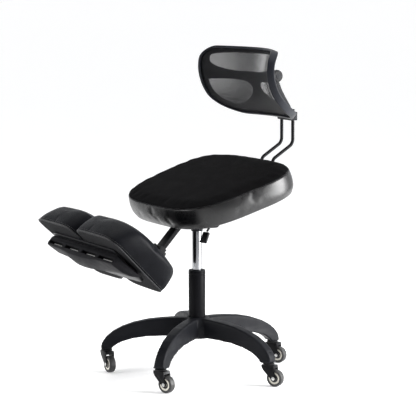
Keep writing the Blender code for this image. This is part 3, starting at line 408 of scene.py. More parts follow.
def lathe(name, profile, steps=72, ring=False, flutes=None):
    """Turn (radius, height) about Z. flutes = (count, depth, low, high) cuts grip flutes between two heights."""
    loops = []
    for r, z in profile:
        loop = []
        for i in range(steps):
            a = 2 * math.pi * i / steps
            q = r
            if flutes and flutes[2] <= z <= flutes[3]:
                q = r - flutes[1] * (0.5 - 0.5 * math.cos(flutes[0] * a)) ** 1.5
            loop.append(Vector((q * math.cos(a), q * math.sin(a), z)))
        loops.append(loop)
    return loops_mesh(name, loops, closed=ring, caps=(not ring, not ring))


def eased(profile, radius=0.0006, steps=3, closed=False):
    """Round the corners of a (radius, height) profile."""
    pts = [Vector(p) for p in profile]
    n = len(pts)
    out = []
    for i, b in enumerate(pts):
        if not closed and i in (0, n - 1):
            out.append(tuple(b))
            continue
        a, c = pts[i - 1], pts[(i + 1) % n]
        u, v = a - b, c - b
        lu, lv = u.length, v.length
        if lu < 1e-7 or lv < 1e-7:
            out.append(tuple(b))
            continue
        u, v = u / lu, v / lv
        cut = min(radius, lu * 0.45, lv * 0.45)
        p, q = b + u * cut, b + v * cut
        for j in range(steps + 1):
            f = j / steps
            out.append(tuple((1 - f) ** 2 * p + 2 * f * (1 - f) * b + f * f * q))
    return out


def refine(node, mat, width=0.0010, segments=2, angle=32.0, sharp=38.0, name=None):
    """A finer copy of a CAD node: flat faces made whole, edges rounded."""
    src = NODES[node]
    bm = bmesh.new()
    bm.from_mesh(src.data)
    bmesh.ops.remove_doubles(bm, verts=bm.verts, dist=2e-6)
    bmesh.ops.dissolve_limit(bm, angle_limit=math.radians(0.6), verts=bm.verts, edges=bm.edges)
    me = from_bm(name or node + "_fine", bm)
    obj = piece(me.name, me, mat, body_of(node), node)
    if width:
        bev = obj.modifiers.new("edges", "BEVEL")
        bev.width, bev.segments, bev.limit_method, bev.angle_limit = width, segments, "ANGLE", math.radians(angle)
        bev.harden_normals = False
        bev.use_clamp_overlap = True
        me = applied(obj)
    me.polygons.foreach_set("use_smooth", [True] * len(me.polygons))
    me.set_sharp_from_angle(angle=math.radians(sharp))
    return obj


def tube_mesh(name, points, radius, sides=32, caps=True):
    """Round bar along a path, with a steady frame."""
    pts = [Vector(p) for p in points]
    tangents = []
    for i in range(len(pts)):
        a, b = pts[max(0, i - 1)], pts[min(len(pts) - 1, i + 1)]
        tangents.append((b - a).normalized())
    normal = tangents[0].orthogonal().normalized()
    loops = []
    for p, t in zip(pts, tangents):
        normal = (normal - t * normal.dot(t)).normalized()
        side = t.cross(normal)
        loops.append([p + (normal * math.cos(2 * math.pi * i / sides) + side * math.sin(2 * math.pi * i / sides)) * radius for i in range(sides)])
    return loops_mesh(name, loops, closed=False, caps=(caps, caps))


def rounded(points, radius, steps=8):
    """Round the inner corners of an open path."""
    pts = [Vector(p) for p in points]
    radii = radius if isinstance(radius, (list, tuple)) else [radius] * (len(pts) - 2)
    out = [pts[0]]
    for a, b, c, rad in zip(pts, pts[1:], pts[2:], radii):
        u, v = (a - b).normalized(), (c - b).normalized()
        half = math.acos(max(-1.0, min(1.0, u.dot(v)))) / 2
        back = rad / math.tan(half)
        centre = b + (u + v).normalized() * (rad / math.sin(half))
        start, end = b + u * back - centre, b + v * back - centre
        total = math.acos(max(-1.0, min(1.0, start.dot(end) / rad ** 2)))
        for i in range(steps + 1):
            f = i / steps
            out.append(centre + (start * math.sin((1 - f) * total) + end * math.sin(f * total)) / math.sin(total))
    out.append(pts[-1])
    return out


def settle(obj, held, cap, pressure=4.0, slack=0.012, frames=20):
    """Swell a cover with cloth pressure, hold the named points, and cap how far any point moves."""
    before = [v.co.copy() for v in obj.data.vertices]
    group = obj.vertex_groups.new(name="held")
    group.add(held, 1.0, "REPLACE")
    cloth = obj.modifiers.new("cloth", "CLOTH")
    s = cloth.settings
    s.quality = 7
    s.mass = 0.25
    s.tension_stiffness = s.compression_stiffness = 22.0
    s.shear_stiffness = 12.0
    s.bending_stiffness = 0.8
    s.air_damping = 3.0
    s.use_pressure = True
    s.uniform_pressure_force = pressure
    s.effector_weights.gravity = 0.0
    s.vertex_group_mass = "held"
    s.shrink_min = -slack
    cloth.collision_settings.use_collision = False
    cloth.collision_settings.use_self_collision = False
    cloth.point_cache.frame_start, cloth.point_cache.frame_end = 1, frames
    for f in range(1, frames + 1):
        scene.frame_set(f)
    dg = bpy.context.evaluated_depsgraph_get()
    after = [v.co.copy() for v in obj.evaluated_get(dg).data.vertices]
    obj.modifiers.remove(cloth)
    obj.vertex_groups.clear()
    scene.frame_set(1)
    for v, b, a in zip(obj.data.vertices, before, after):
        d = a - b
        v.co = b + d * (min(1.0, cap / d.length) if d.length > 1e-9 else 1.0)


# ================================================================ frame of the seat and of the knee support
SEAT_W, SEAT_L, SEAT_T = 0.522, 0.378, 0.072
SEAT_AT, SEAT_TILT = Vector((0, 0.027, 0.577)), math.radians(17.7)
UP = Vector((0, -math.sin(SEAT_TILT), math.cos(SEAT_TILT)))
BACK = Vector((0, math.cos(SEAT_TILT), math.sin(SEAT_TILT)))
KNEE_TILT, KNEE_AT_Y = math.radians(43), -0.007


def seat_point(x, v, n):
    return SEAT_AT + Vector((x, 0, 0)) + BACK * v + UP * n


def knee_at(x, l, n):
    c, s = math.cos(KNEE_TILT), math.sin(KNEE_TILT)
    return Vector((x, c * l + s * n + KNEE_AT_Y, -s * l + c * n))


# ================================================================ stuffed pieces
def even_angles(edge, spans, count):
    """Outline angles evenly spaced along it: spans are the four corner angles; count is not used.
    Gives a function from (span, fraction) to an angle."""
    table = []
    for k in range(4):
        a0, a1 = spans[k], spans[(k + 1) % 4]
        if a1 <= a0:
            a1 += 2 * math.pi
        angles = [a0 + (a1 - a0) * i / 600 for i in range(601)]
        pts = [Vector(edge(a)) for a in angles]
        total = [0.0]
        for p, q in zip(pts, pts[1:]):
            total.append(total[-1] + (q - p).length)
        table.append((angles, total))

    def angle(k, f):
        angles, total = table[k % 4]
        want = f * total[-1]
        lo, hi = 0, len(total) - 1
        while hi - lo > 1:
            mid = (lo + hi) // 2
            lo, hi = (mid, hi) if total[mid] <= want else (lo, mid)
        span = total[hi] - total[lo]
        g = (want - total[lo]) / span if span > 1e-12 else 0.0
        return angles[lo] + (angles[hi] - angles[lo]) * g

    return angle


def grid_spot(i, j, cells):
    """Where a point of a square grid lies: (how far out 0-1, span, fraction)."""
    a, b = 2 * i / cells - 1, 2 * j / cells - 1
    m = max(abs(a), abs(b))
    if m < 1e-9:
        return 0.0, 0, 0.0
    a, b = a / m, b / m
    if a >= 1 - 1e-9 and b < 1 - 1e-9:
        return m, 0, (b + 1) / 2            # right side, going up
    if b >= 1 - 1e-9 and a > -1 + 1e-9:
        return m, 1, (1 - a) / 2            # far side, going left
    if a <= -1 + 1e-9 and b > -1 + 1e-9:
        return m, 2, (1 - b) / 2            # left side, going down
    return m, 3, (a + 1) / 2                # near side, going right


def stuffed(name, edge, corners, cells, top, rings, bottom):
    """Closed cushion mesh. top(angle, m), rings [(key, place(angle))], bottom(angle, m) give world points.
    Vertex attribute 'down' keeps each ring's key, in metres below the top edge."""
    angle = even_angles(edge, corners, cells)
    bm = bmesh.new()
    down = bm.verts.layers.float.new("down")
    n = 4 * cells

    def grid(place, key):
        rows = []
        for i in range(cells + 1):
            rows.append([])
            for j in range(cells + 1):
                m, k, f = grid_spot(i, j, cells)
                v = bm.verts.new(place(angle(k, f), m))
                v[down] = key
                rows[-1].append(v)
        for i in range(cells):
            for j in range(cells):
                bm.faces.new((rows[i][j], rows[i + 1][j], rows[i + 1][j + 1], rows[i][j + 1]))
        c = cells
        rim = [rows[c][j] for j in range(0, c)] + [rows[i][c] for i in range(c, 0, -1)] + \
              [rows[0][j] for j in range(c, 0, -1)] + [rows[i][0] for i in range(0, c)]
        return rim

    previous = grid(top, -0.001)
    around = [(k, f / cells) for k in range(4) for f in range(cells)]
    for key, place in rings:
        loop = []
        for k, f in around:
            v = bm.verts.new(place(angle(k, f)))
            v[down] = key
            loop.append(v)
        for i in range(n):
            bm.faces.new((previous[i], loop[i], loop[(i + 1) % n], previous[(i + 1) % n]))
        previous = loop
    last = grid(bottom, 1.0)
    for i in range(n):
        bm.faces.new((previous[i], last[i], last[(i + 1) % n], previous[(i + 1) % n]))
    return from_bm(name, bm)


def keys(obj):
    attribute = obj.data.attributes["down"]
    values = [0.0] * len(obj.data.vertices)
    attribute.data.foreach_get("value", values)
    return values


def subdivided(obj, levels=1):
    m = obj.modifiers.new("fine", "SUBSURF")
    m.levels = m.render_levels = levels
    return applied(obj)


def groove(obj, lines, ripple=0.0, ripple_scale=70.0, ripple_reach=0.012, swell=0.0):
    """Press seams into the cover: lines are (key, depth, half width). ripple puckers the cover next to them."""
    me = obj.data
    values = keys(obj)
    normals = [v.normal.copy() for v in me.vertices]
    for v, key, n in zip(me.vertices, values, normals):
        if key > 0.9:
            continue
        d = 0.0
        for where, depth, half in lines:
            away = key - where
            d -= depth * math.exp(-(away / half) ** 2)
            if ripple:
                near = math.exp(-abs(away) / ripple_reach)
                d += ripple * near * (noise.noise(Vector((v.co.x, v.co.y, v.co.z * 0.35)) * ripple_scale) + 0.4 * noise.noise(v.co * ripple_scale * 2.3))
        if swell:
            d += swell * noise.noise(v.co * 17.0) + 0.45 * swell * noise.noise(v.co * 41.0 + Vector((3, 1, 7)))
        v.co = v.co + n * d


def stitches(name, obj, path, length, gap, radius, mat, body, lift=0.0002):
    """A row of stitches lying on the cover along a closed path."""
    bm0 = bmesh.new()
    bm0.from_mesh(obj.data)
    tree = BVHTree.FromBMesh(bm0)
    total, marks = 0.0, [0.0]
    pts = [Vector(p) for p in path] + [Vector(path[0])]
    for p, q in zip(pts, pts[1:]):
        total += (q - p).length
        marks.append(total)
    count = int(total / (length + gap))
    step = total / count

    def along(d):
        d %= total
        lo, hi = 0, len(marks) - 1
        while hi - lo > 1:
            mid = (lo + hi) // 2
            lo, hi = (mid, hi) if marks[mid] <= d else (lo, mid)
        f = (d - marks[lo]) / max(1e-9, marks[hi] - marks[lo])
        return pts[lo].lerp(pts[hi], f)

    bm = bmesh.new()
    for i in range(count):
        a, b = along(i * step), along(i * step + length)
        (pa, na, _, _), (pb, nb, _, _) = tree.find_nearest(a), tree.find_nearest(b)
        n = (na + nb).normalized()
        t = (pb - pa)
        if t.length < 1e-6:
            continue
        t.normalize()
        side = t.cross(n).normalized()
        rows = []
        for f, r, h in ((0.0, 0.35, -0.9), (0.12, 0.85, 0.0), (0.5, 1.0, 0.45), (0.88, 0.85, 0.0), (1.0, 0.35, -0.9)):
            c = pa.lerp(pb, f) + n * (lift + h * radius)
            rows.append([bm.verts.new(c + (side * math.cos(q * math.pi / 3) + n * math.sin(q * math.pi / 3)) * radius * r) for q in range(6)])
        for one, two in zip(rows, rows[1:]):
            for q in range(6):
                bm.faces.new((one[q], one[(q + 1) % 6], two[(q + 1) % 6], two[q]))
        bm.faces.new(list(reversed(rows[0])))
        bm.faces.new(rows[-1])
    bm0.free()
    return piece(name, from_bm(name, bm), mat, body)


# ---------------------------------------------------------------- seat cushion
CELLS = 40
SEAM = 0.0075
FILLET = 0.0042


def seat_edge(angle):
    c, s = math.cos(angle), math.sin(angle)
    u = math.copysign(abs(c) ** (2 / 3.3), c) * SEAT_W / 2
    v = math.copysign(abs(s) ** (2 / 3.3), s) * SEAT_L / 2
    return u * (1 + 0.055 * v / (SEAT_L / 2)), v


def seat_ring(angle, depth, inset=0.0):
    """A point of the band, depth below the crease."""
    u, v = seat_edge(angle)
    d = depth / SEAT_T
    out = 0.0016 + 0.0052 * math.sin(math.pi * min(1.0, 1.05 * d)) - 0.005 * max(0.0, d - 0.75) / 0.25 - inset
    r = math.hypot(u, v)
    return seat_point(u * (1 + out / r), v * (1 + out / r), -depth)


def seat_top(angle, m):
    u, v = seat_edge(angle)
    r = math.hypot(u, v)
    q = m * (1 - FILLET / r)
    return seat_point(u * q, v * q, 0.0052 * (1 - m ** 2.4) + 0.0008 * m)


def seat_bottom(angle, m):
    u, v = seat_edge(angle)
    r = math.hypot(u, v)
    q = m * (1 - 0.0105 / r)
    return seat_point(u * q, v * q, -SEAT_T + 0.0)


rings = []
for i in range(1, 6):
    a = math.radians(18 * i)
    inset, drop = FILLET * (1 - math.sin(a)), FILLET * (1 - math.cos(a))
    rings.append((drop, (lambda t, inset=inset, drop=drop: seat_ring(t, drop, inset))))
for depth in (0.0052, 0.0061, 0.0068, 0.0075, 0.0082, 0.0090, 0.0102, 0.0120, 0.0150, 0.0190, 0.0240, 0.0295, 0.0350, 0.0410,
              0.0470, 0.0525, 0.0575, 0.0620, 0.0655, 0.0680, 0.0695, 0.0706, 0.0714):
    rings.append((depth, (lambda t, depth=depth: seat_ring(t, depth, 0.0 if depth < 0.0695 else 0.0026 * ((depth - 0.0695) / 0.0019) ** 2))))
rings.append((0.0720, (lambda t: seat_ring(t, 0.0720, 0.0050))))
corner = [math.radians(q) for q in (-45, 45, 135, 225)]
me = stuffed("seat_cushion_cover", seat_edge, corner, CELLS, seat_top, rings, seat_bottom)
seat = piece("seat_cushion_cover", me, [SEAT_TOP, SEAT_BAND, UNDER], "seat", "seat_cushion")
values = keys(seat)
settle(seat, [i for i, q in enumerate(values) if q > 0.0650 or abs(q - SEAM) < 0.0002], 0.0045, pressure=4.0, slack=0.0025)
me = subdivided(seat)
groove(seat, [(SEAM, 0.0016, 0.0011)], ripple=0.00012, ripple_scale=85, ripple_reach=0.008, swell=0.00016)
values = keys(seat)
for f in me.polygons:
    q = [values[i] for i in f.vertices]
    f.material_index = 2 if min(q) > 0.0719 else (1 if sum(q) / len(q) > SEAM - 0.0001 else 0)
me.polygons.foreach_set("use_smooth", [True] * len(me.polygons))
ring_path = [seat_ring(math.radians(360 * i / 720), 0.0052, 0.0002) for i in range(720)]
stitches("seat_seam_stitches", seat, ring_path, 0.0034, 0.0014, 0.00038, THREAD, "seat")

# ---------------------------------------------------------------- knee cushions
PAD_N = (0.0620, 0.1310, 0.1550)
PAD_LOW = dict(inner=0.0125, outer=0.252, front=-0.613, rear=-0.3620, taper=0.052, outer_front=5.5, outer_rear=4.0)
PAD_TOP = dict(inner=0.0180, outer=0.255, front=-0.598, rear=-0.3560, taper=0.026, outer_front=2.7, outer_rear=2.6)
PAD_MID = (0.125, -0.478)
PAD_H = PAD_N[1] - PAD_N[0]
PIPE = 0.0026                       # height of the bottom seam above the underside


def pad_edge(angle, inner, outer, front, rear, taper, outer_front, outer_rear):
    c, s = math.cos(angle), math.sin(angle)
    power = 6.0 if c < 0 else outer_front if s < 0 else outer_rear
    u = math.copysign(abs(c) ** (2 / power), c) * ((outer - PAD_MID[0]) if c > 0 else (PAD_MID[0] - inner))
    v = math.copysign(abs(s) ** (2 / power), s) * ((rear - PAD_MID[1]) if s > 0 else (PAD_MID[1] - front))
    if c > 0:
        u -= taper * (v + PAD_MID[1] - front) / (rear - front) * c ** 2
    if s > 0:
        v += 0.030 * u * s ** 2
    return u, v


ROUND = 0.0110


def pad_place(side, angle, up_share, inset=0.0, raise_by=0.0, radius=1.0, bulge=1.0):
    low, high = pad_edge(angle, **PAD_LOW), pad_edge(angle, **PAD_TOP)
    u, v = (low[i] + (high[i] - low[i]) * up_share for i in (0, 1))
    r = math.hypot(u, v)
    k = 1.006 + bulge * 0.030 * math.sin(math.pi * min(1.0, 0.10 + 0.90 * up_share)) - 0.012 * max(0.0, 0.20 - up_share) / 0.20 - inset / r
    k *= radius
    n = PAD_N[0] + PAD_H * up_share + raise_by
    return knee_at(side * (PAD_MID[0] + u * k), PAD_MID[1] + v * k, n)


def knee_pad(side, name):
    def top(angle, m):
        return pad_place(side, angle, 1.0, ROUND, (PAD_N[2] - PAD_N[1] + 0.0005) * (1 - m ** 2.3) + 0.0062 * m ** 2.3, m)

    rings = []
    for i in range(1, 7):
        a = math.radians(15 * i)
        inset, drop = ROUND * (1 - math.sin(a)), (ROUND * 0.9 + 0.0062) * (1 - math.cos(a)) - 0.0062
        rings.append((drop + 0.0062, (lambda t, inset=inset, drop=drop: pad_place(side, t, 1.0 - max(0.0, drop) / PAD_H, inset, max(0.0, -drop)))))
    start = ROUND * 0.9
    for i in range(1, 15):
        f = i / 15
        depth = start + (PAD_H - PIPE - 0.0028 - start) * f
        rings.append((depth, (lambda t, depth=depth: pad_place(side, t, 1.0 - depth / PAD_H))))
    for depth in (PAD_H - PIPE - 0.0022, PAD_H - PIPE - 0.0013, PAD_H - PIPE - 0.0005, PAD_H - PIPE, PAD_H - PIPE + 0.0006, PAD_H - PIPE + 0.0013,
                  PAD_H - 0.0006):
        inset = 0.0 if depth < PAD_H - 0.002 else 0.0012
        rings.append((depth, (lambda t, depth=depth, inset=inset: pad_place(side, t, 1.0 - depth / PAD_H, inset))))
    rings.append((PAD_H, (lambda t: pad_place(side, t, 0.0, 0.0038))))

    def bottom(angle, m):
        return pad_place(side, angle, 0.0, 0.0075, 0.0, m)

    def edge(angle):
        return pad_edge(angle, **PAD_TOP)

    me = stuffed(f"{name}_cover", edge, corner, 34, top, rings, bottom)
    pad = piece(f"{name}_cover", me, [PAD_COVER, UNDER], "knee_rest", name)
    values = keys(pad)
    settle(pad, [i for i, q in enumerate(values) if q > PAD_H - PIPE - 0.0004], 0.0055, pressure=4.0, slack=0.006)
    me = subdivided(pad)
    groove(pad, [(PAD_H - PIPE - 0.0016, 0.0016, 0.0012)], ripple=0.00035, ripple_scale=70, ripple_reach=0.010, swell=0.00045)
    values = keys(pad)
    for f in me.polygons:
        f.material_index = 1 if min(values[i] for i in f.vertices) > PAD_H - 0.0001 else 0
    me.polygons.foreach_set("use_smooth", [True] * len(me.polygons))
    path = [pad_place(side, math.radians(i / 2), (PIPE - 0.0002) / PAD_H, -0.0004) for i in range(720)]
    steady = [path[0]]
    for p in path[1:]:
        if (p - steady[-1]).length > 0.003:
            steady.append(p)
    if (steady[-1] - steady[0]).length < 0.0015:
        steady.pop()
    loops = []
    n = len(steady)
    up_n = knee_at(0, 0, 1) - knee_at(0, 0, 0)
    for i, p in enumerate(steady):
        t = (steady[(i + 1) % n] - steady[i - 1]).normalized()
        s = t.cross(up_n).normalized()
        loops.append([p + (s * math.cos(q * math.pi / 5) + up_n * math.sin(q * math.pi / 5)) * 0.0017 for q in range(10)])
    bm = bmesh.new()
    rows = [[bm.verts.new(p) for p in loop] for loop in loops]
    for i in range(n):
        one, two = rows[i], rows[(i + 1) % n]
        for q in range(10):
            bm.faces.new((one[q], one[(q + 1) % 10], two[(q + 1) % 10], two[q]))
    piece(f"{name}_piping", from_bm(f"{name}_piping", bm), PIPING, "knee_rest")
    path = [pad_place(side, math.radians(i / 2), (PIPE + 0.0052) / PAD_H, -0.002) for i in range(720)]
    stitches(f"{name}_stitches", pad, path, 0.0034, 0.0014, 0.00036, THREAD, "knee_rest")
    return pad


knee_pad(-1, "knee_pad_left")
knee_pad(1, "knee_pad_right")


# ================================================================ backrest
BACK_HALF_W = 0.200
CENTRE = [(0.196, 0.9620), (0.182, 0.9300), (0.178, 0.8930), (0.186, 0.8560), (0.204, 0.8170), (0.234, 0.7830), (0.270, 0.7530)]
LENGTHS = [0.0]
for (ya, za), (yb, zb) in zip(CENTRE, CENTRE[1:]):
    LENGTHS.append(LENGTHS[-1] + math.hypot(yb - ya, zb - za))
BACK_H = LENGTHS[-1]


def spline_value(s, k):
    s = max(-0.01, min(BACK_H + 0.01, s))
    i = max(0, min(len(LENGTHS) - 2, sum(1 for q in LENGTHS[1:-1] if q <= s)))
    p = [CENTRE[max(0, i - 1)][k], CENTRE[i][k], CENTRE[i + 1][k], CENTRE[min(len(CENTRE) - 1, i + 2)][k]]
    q = [LENGTHS[max(0, i - 1)], LENGTHS[i], LENGTHS[i + 1], LENGTHS[min(len(CENTRE) - 1, i + 2)]]
    if i == 0:
        p[0], q[0] = 2 * p[1] - p[2], 2 * q[1] - q[2]
    if i == len(LENGTHS) - 2:
        p[3], q[3] = 2 * p[2] - p[1], 2 * q[2] - q[1]
    m1 = (p[2] - p[0]) / (q[2] - q[0])
    m2 = (p[3] - p[1]) / (q[3] - q[1])
    h = q[2] - q[1]
    t = (s - q[1]) / h
    return ((2 * t ** 3 - 3 * t ** 2 + 1) * p[1] + (t ** 3 - 2 * t ** 2 + t) * h * m1
            + (-2 * t ** 3 + 3 * t ** 2) * p[2] + (t ** 3 - t ** 2) * h * m2)


def on_back(x, s):
    sag = 1.50 - 0.25 * max(0.0, s - 0.12) / 0.12
    return Vector((x, spline_value(s, 0) - sag * x * x, spline_value(s, 1)))


def back_point(x, s, d):
    e = 0.002
    across = on_back(x + e, s) - on_back(x - e, s)
    down = on_back(x, s + e) - on_back(x, s - e)
    normal = across.cross(down).normalized()
    if normal.y < 0:
        normal = -normal
    return on_back(x, s) + normal * d


def back_outline(inset=0.0, per_corner=26, counts=(16, 44, 16, 32)):
    w, top, bottom = BACK_HALF_W - inset, inset, BACK_H - inset
    rt, rb = 0.046 - inset, 0.085 - inset
    corners = [(w - rb, bottom - rb, rb, 90, 0), (w - rt, top + rt, rt, 0, -90), (-w + rt, top + rt, rt, -90, -180),
               (-w + rb, bottom - rb, rb, 180, 90)]
    arcs = []
    for cx, cy, r, a0, a1 in corners:
        turn = [math.radians(a0 + (a1 - a0) * i / (per_corner - 1)) for i in range(per_corner)]
        arcs.append([(cx + r * math.cos(a), cy + r * math.sin(a)) for a in turn])
    pts = []
    for arc, following, count in zip(arcs, arcs[1:] + arcs[:1], counts):
        pts += arc
        (xa, ya), (xb, yb) = arc[-1], following[0]
        pts += [(xa + (xb - xa) * j / count, ya + (yb - ya) * j / count) for j in range(1, count)]
    return pts


RIM_IN, RIM_FRONT, RIM_BACK = 0.0080, -0.0020, 0.0200
section = []
for ci, cd, a0 in ((RIM_IN, RIM_FRONT, 270), (0.0, RIM_FRONT, 180), (0.0, RIM_BACK, 90), (RIM_IN, RIM_BACK, 0)):
    r = 0.0026 if ci == 0.0 else 0.0012
    ox, od = (r if ci == 0.0 else -r), (r if cd == RIM_FRONT else -r)
    sx, sd = (-1 if ci == 0.0 else 1), (-1 if cd == RIM_FRONT else 1)
    steps = 5 if ci == 0.0 else 3
    arc = []
    for i in range(steps):
        f = math.radians(90 * i / (steps - 1))
        arc.append((ci + ox + sx * r * math.cos(f), cd + od + sd * r * math.sin(f)))
    section.append(arc)
inner_front, outer_front, outer_back, inner_back = section
profile = inner_front + list(reversed(outer_front)) + outer_back + list(reversed(inner_back))
# a shallow step on the inner wall, where the net is held
profile += [(RIM_IN, 0.0120), (RIM_IN, 0.0070), (RIM_IN - 0.0010, 0.0062), (RIM_IN - 0.0010, 0.0020)]
me = loops_mesh("back_frame_fine", [[back_point(x, s, d) for x, s in back_outline(i)] for i, d in profile], closed=True)
piece("back_frame_fine", me, NYLON_BACK, "backrest", "back_frame", sharp=50)

# net: a grid drawn out to the frame's inner edge, then given the thickness of the cloth
NET_IN = 0.0074


def inner_edge(a, b):
    top, bottom, w = NET_IN, BACK_H - NET_IN, BACK_HALF_W - NET_IN
    mid, half = (top + bottom) / 2, (bottom - top) / 2
    x, s = a * w, mid + b * half
    rt, rb = 0.046 - NET_IN, 0.085 - NET_IN
    lo, hi = 0.0, 1.0
    for _ in range(34):
        k = (lo + hi) / 2
        px, ps = x * k, mid + (s - mid) * k
        r = rb if ps > mid else rt
        dx = max(0.0, abs(px) - (w - r))
        ds = max(0.0, (ps - (bottom - r)) if ps > mid else ((top + r) - ps))
        inside = abs(px) <= w and top <= ps <= bottom and (dx == 0 or ds == 0 or math.hypot(dx, ds) <= r)
        lo, hi = (k, hi) if inside else (lo, k)
    return x * lo, mid + (s - mid) * lo


GX, GY = 60, 40
bm = bmesh.new()
weave = bm.loops.layers.uv.new("weave")
flat_spot = {}
rows = []
for i in range(GX + 1):
    rows.append([])
    for j in range(GY + 1):
        a, b = 2 * i / GX - 1, 2 * j / GY - 1
        m = max(abs(a), abs(b))
        mid = BACK_H / 2
        if m < 1e-9:
            x, s = 0.0, mid
        else:
            bx, bs = inner_edge(a / m, b / m)
            x, s = bx * m, mid + (bs - mid) * m
        # pulled slightly forward between the frame's sides, as stretched cloth is
        v = bm.verts.new(back_point(x, s, 0.0040 + 0.0012 * (1 - m * m)))
        flat_spot[v] = (x, s)
        rows[-1].append(v)
for i in range(GX):
    for j in range(GY):
        f = bm.faces.new((rows[i][j], rows[i + 1][j], rows[i + 1][j + 1], rows[i][j + 1]))
        for loop in f.loops:
            loop[weave].uv = flat_spot[loop.vert]
me = from_bm("back_net", bm)
net_obj = piece("back_net", me, NET, "backrest", "back_mesh")
skin = net_obj.modifiers.new("thickness", "SOLIDIFY")
skin.thickness, skin.offset = 0.0008, 0.0
applied(net_obj)
net_obj.data.polygons.foreach_set("use_smooth", [True] * len(net_obj.data.polygons))

refine("back_spine", NYLON_BACK, 0.0010, 2, 40, 45)
refine("back_carrier", NYLON, 0.0018, 3, 30, 40)
refine("back_pin", ZINC, 0.0005, 2, 40, 45)

knob_at = Vector((0.0, 0.258, 0.875))
profile = eased([(0, 0.0345), (0.0132, 0.0345), (0.0172, 0.0333), (0.0190, 0.0300), (0.0190, 0.0235), (0.0165, 0.0205), (0.0110, 0.0193), (0, 0.0193)], 0.0011)
me = lathe("back_knob_fine", profile, 144, flutes=(18, 0.0011, 0.0225, 0.0322))
me.transform(Matrix.Translation(knob_at) @ Matrix.Rotation(math.pi / 2, 4, "Y"))
piece("back_knob_fine", me, GRIP, "tilt_knob", "back_knob", sharp=60)
profile = eased([(0, 0.0352), (0.0058, 0.0352), (0.0066, 0.0349), (0.0070, 0.0344), (0, 0.0344)], 0.0003)
me = lathe("back_knob_cap", profile, 48)
me.transform(Matrix.Translation(knob_at) @ Matrix.Rotation(math.pi / 2, 4, "Y"))
piece("back_knob_cap", me, NYLON, "tilt_knob", sharp=50)

# ---------------------------------------------------------------- backrest rods
CLAMP_V, ROD_N, ROD_X, ROD_R = (0.0950, 0.1650), -0.0940, 0.031, 0.005
foot, heel, knee_up = seat_point(0, 0.0750, ROD_N), seat_point(0, 0.2170, ROD_N), seat_point(0, 0.2170, -0.0190)
path = rounded([(0, foot.y, foot.z), (0, heel.y, heel.z), (0, knee_up.y, knee_up.z), (0, 0.3135, 0.6710), (0, 0.3135, 0.7750)], [0.022, 0.018, 0.024])
for side, name in ((-1, "left"), (1, "right")):
    pts = [p + Vector((side * ROD_X, 0, 0)) for p in path]
    ends = (pts[1] - pts[0]).normalized(), (pts[-1] - pts[-2]).normalized()
    me = tube_mesh(f"back_rod_{name}_fine", pts, ROD_R, 32)
    rod = piece(me.name, me, PAINT, "back_rods", f"back_rod_{name}")
    bev = rod.modifiers.new("ends", "BEVEL")
    bev.width, bev.segments, bev.limit_method, bev.angle_limit = 0.0009, 2, "ANGLE", math.radians(60)
    me = applied(rod)
    me.polygons.foreach_set("use_smooth", [True] * len(me.polygons))
    me.set_sharp_from_angle(angle=math.radians(50))
refine("rod_clamp", PAINT, 0.0012, 2)
lo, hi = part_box("rod_clamp_knob")
base = seat_point(0, sum(CLAMP_V) / 2, 0)
profile = eased([(0, 0), (0.0120, 0), (0.0150, -0.0020), (0.0150, -0.0120), (0.0135, -0.0145), (0, -0.0145)], 0.0010)
me = lathe("rod_clamp_knob_fine", profile, 120, flutes=(14, 0.0011, -0.0128, -0.0012))
CLAMP_TOP = -SEAT_T - 0.0003 - 0.012 - 0.0003
me.transform(Matrix.Translation(seat_point(0, sum(CLAMP_V) / 2, CLAMP_TOP - 0.0220 - 0.0003)) @ Matrix.Rotation(SEAT_TILT, 4, "X"))
piece("rod_clamp_knob_fine", me, GRIP, "clamp_knob", "rod_clamp_knob", sharp=60)

# ================================================================ seat mechanism, post and knee support
refine("mech_box", PAINT, 0.0016, 2, 25)
refine("seat_plate", PAINT, 0.0008, 2, 30)
refine("seat_board", UNDER, 0.0010, 2, 40)
refine("knee_post", PAINT, 0.0014, 3, 25)
refine("knee_socket", PAINT, 0.0008, 2, 30)
refine("knee_plate", PAINT, 0.0009, 2, 30)
refine("knee_tray", NYLON_KNEE, 0.0012, 2, 34, 50)
for i in range(1, 5):
    refine(f"tray_insert_{i}", INSERT, 0.0006, 2, 30)
refine("lever_rod", PAINT, 0.0004, 1, 50)
refine("lever_grip", GRIP, 0.0007, 2, 18, 50)

KNOB = eased([(0, 0.0150), (0.0060, 0.0150), (0.0082, 0.0138), (0.0090, 0.0115), (0.0090, 0.0035), (0.0080, 0.0015), (0.0055, 0.0003),
              (0.0030, 0.0003), (0.0030, -0.0025), (0, -0.0025)], 0.0006)
for name in ("knee_knob_front", "knee_knob_rear"):
    side = -1 if name.endswith("front") else 1
    face = -0.346 + side * (0.007 + 0.0004 + 0.0025)
    me = lathe(f"{name}_fine", KNOB, 96, flutes=(12, 0.0008, 0.0026, 0.0122))
    axis = (knee_at(0, side, 0) - knee_at(0, 0, 0)).normalized()
    me.transform(Matrix.Translation(knee_at(0, face, 0.193)) @ axis.to_track_quat("Z", "Y").to_matrix().to_4x4())
    piece(me.name, me, GRIP, body_of(name), name, sharp=60)

# bolts that hold the mechanism to the plate, and the plate to the board
def hex_bolt(name, at, axis, across, height, body, mat=ZINC):
    profile = eased([(0, height), (across * 0.44, height), (across * 0.577, height * 0.80), (across * 0.577, 0.0), (0, 0.0)], 0.0002, 2)
    me = lathe(name, profile, 6)
    me.transform(Matrix.Translation(at) @ Vector(axis).to_track_quat("Z", "Y").to_matrix().to_4x4())
    return piece(name, me, mat, body, sharp=20)


PLATE_LOW = CLAMP_TOP - 0.003 - 0.0001
for i, (x, v) in enumerate(((-0.080, -0.070), (0.080, -0.070), (-0.080, 0.070), (0.080, 0.070)), 1):
    hex_bolt(f"plate_bolt_{i}", seat_point(x, v, PLATE_LOW), -UP, 0.010, 0.0040, "seat")

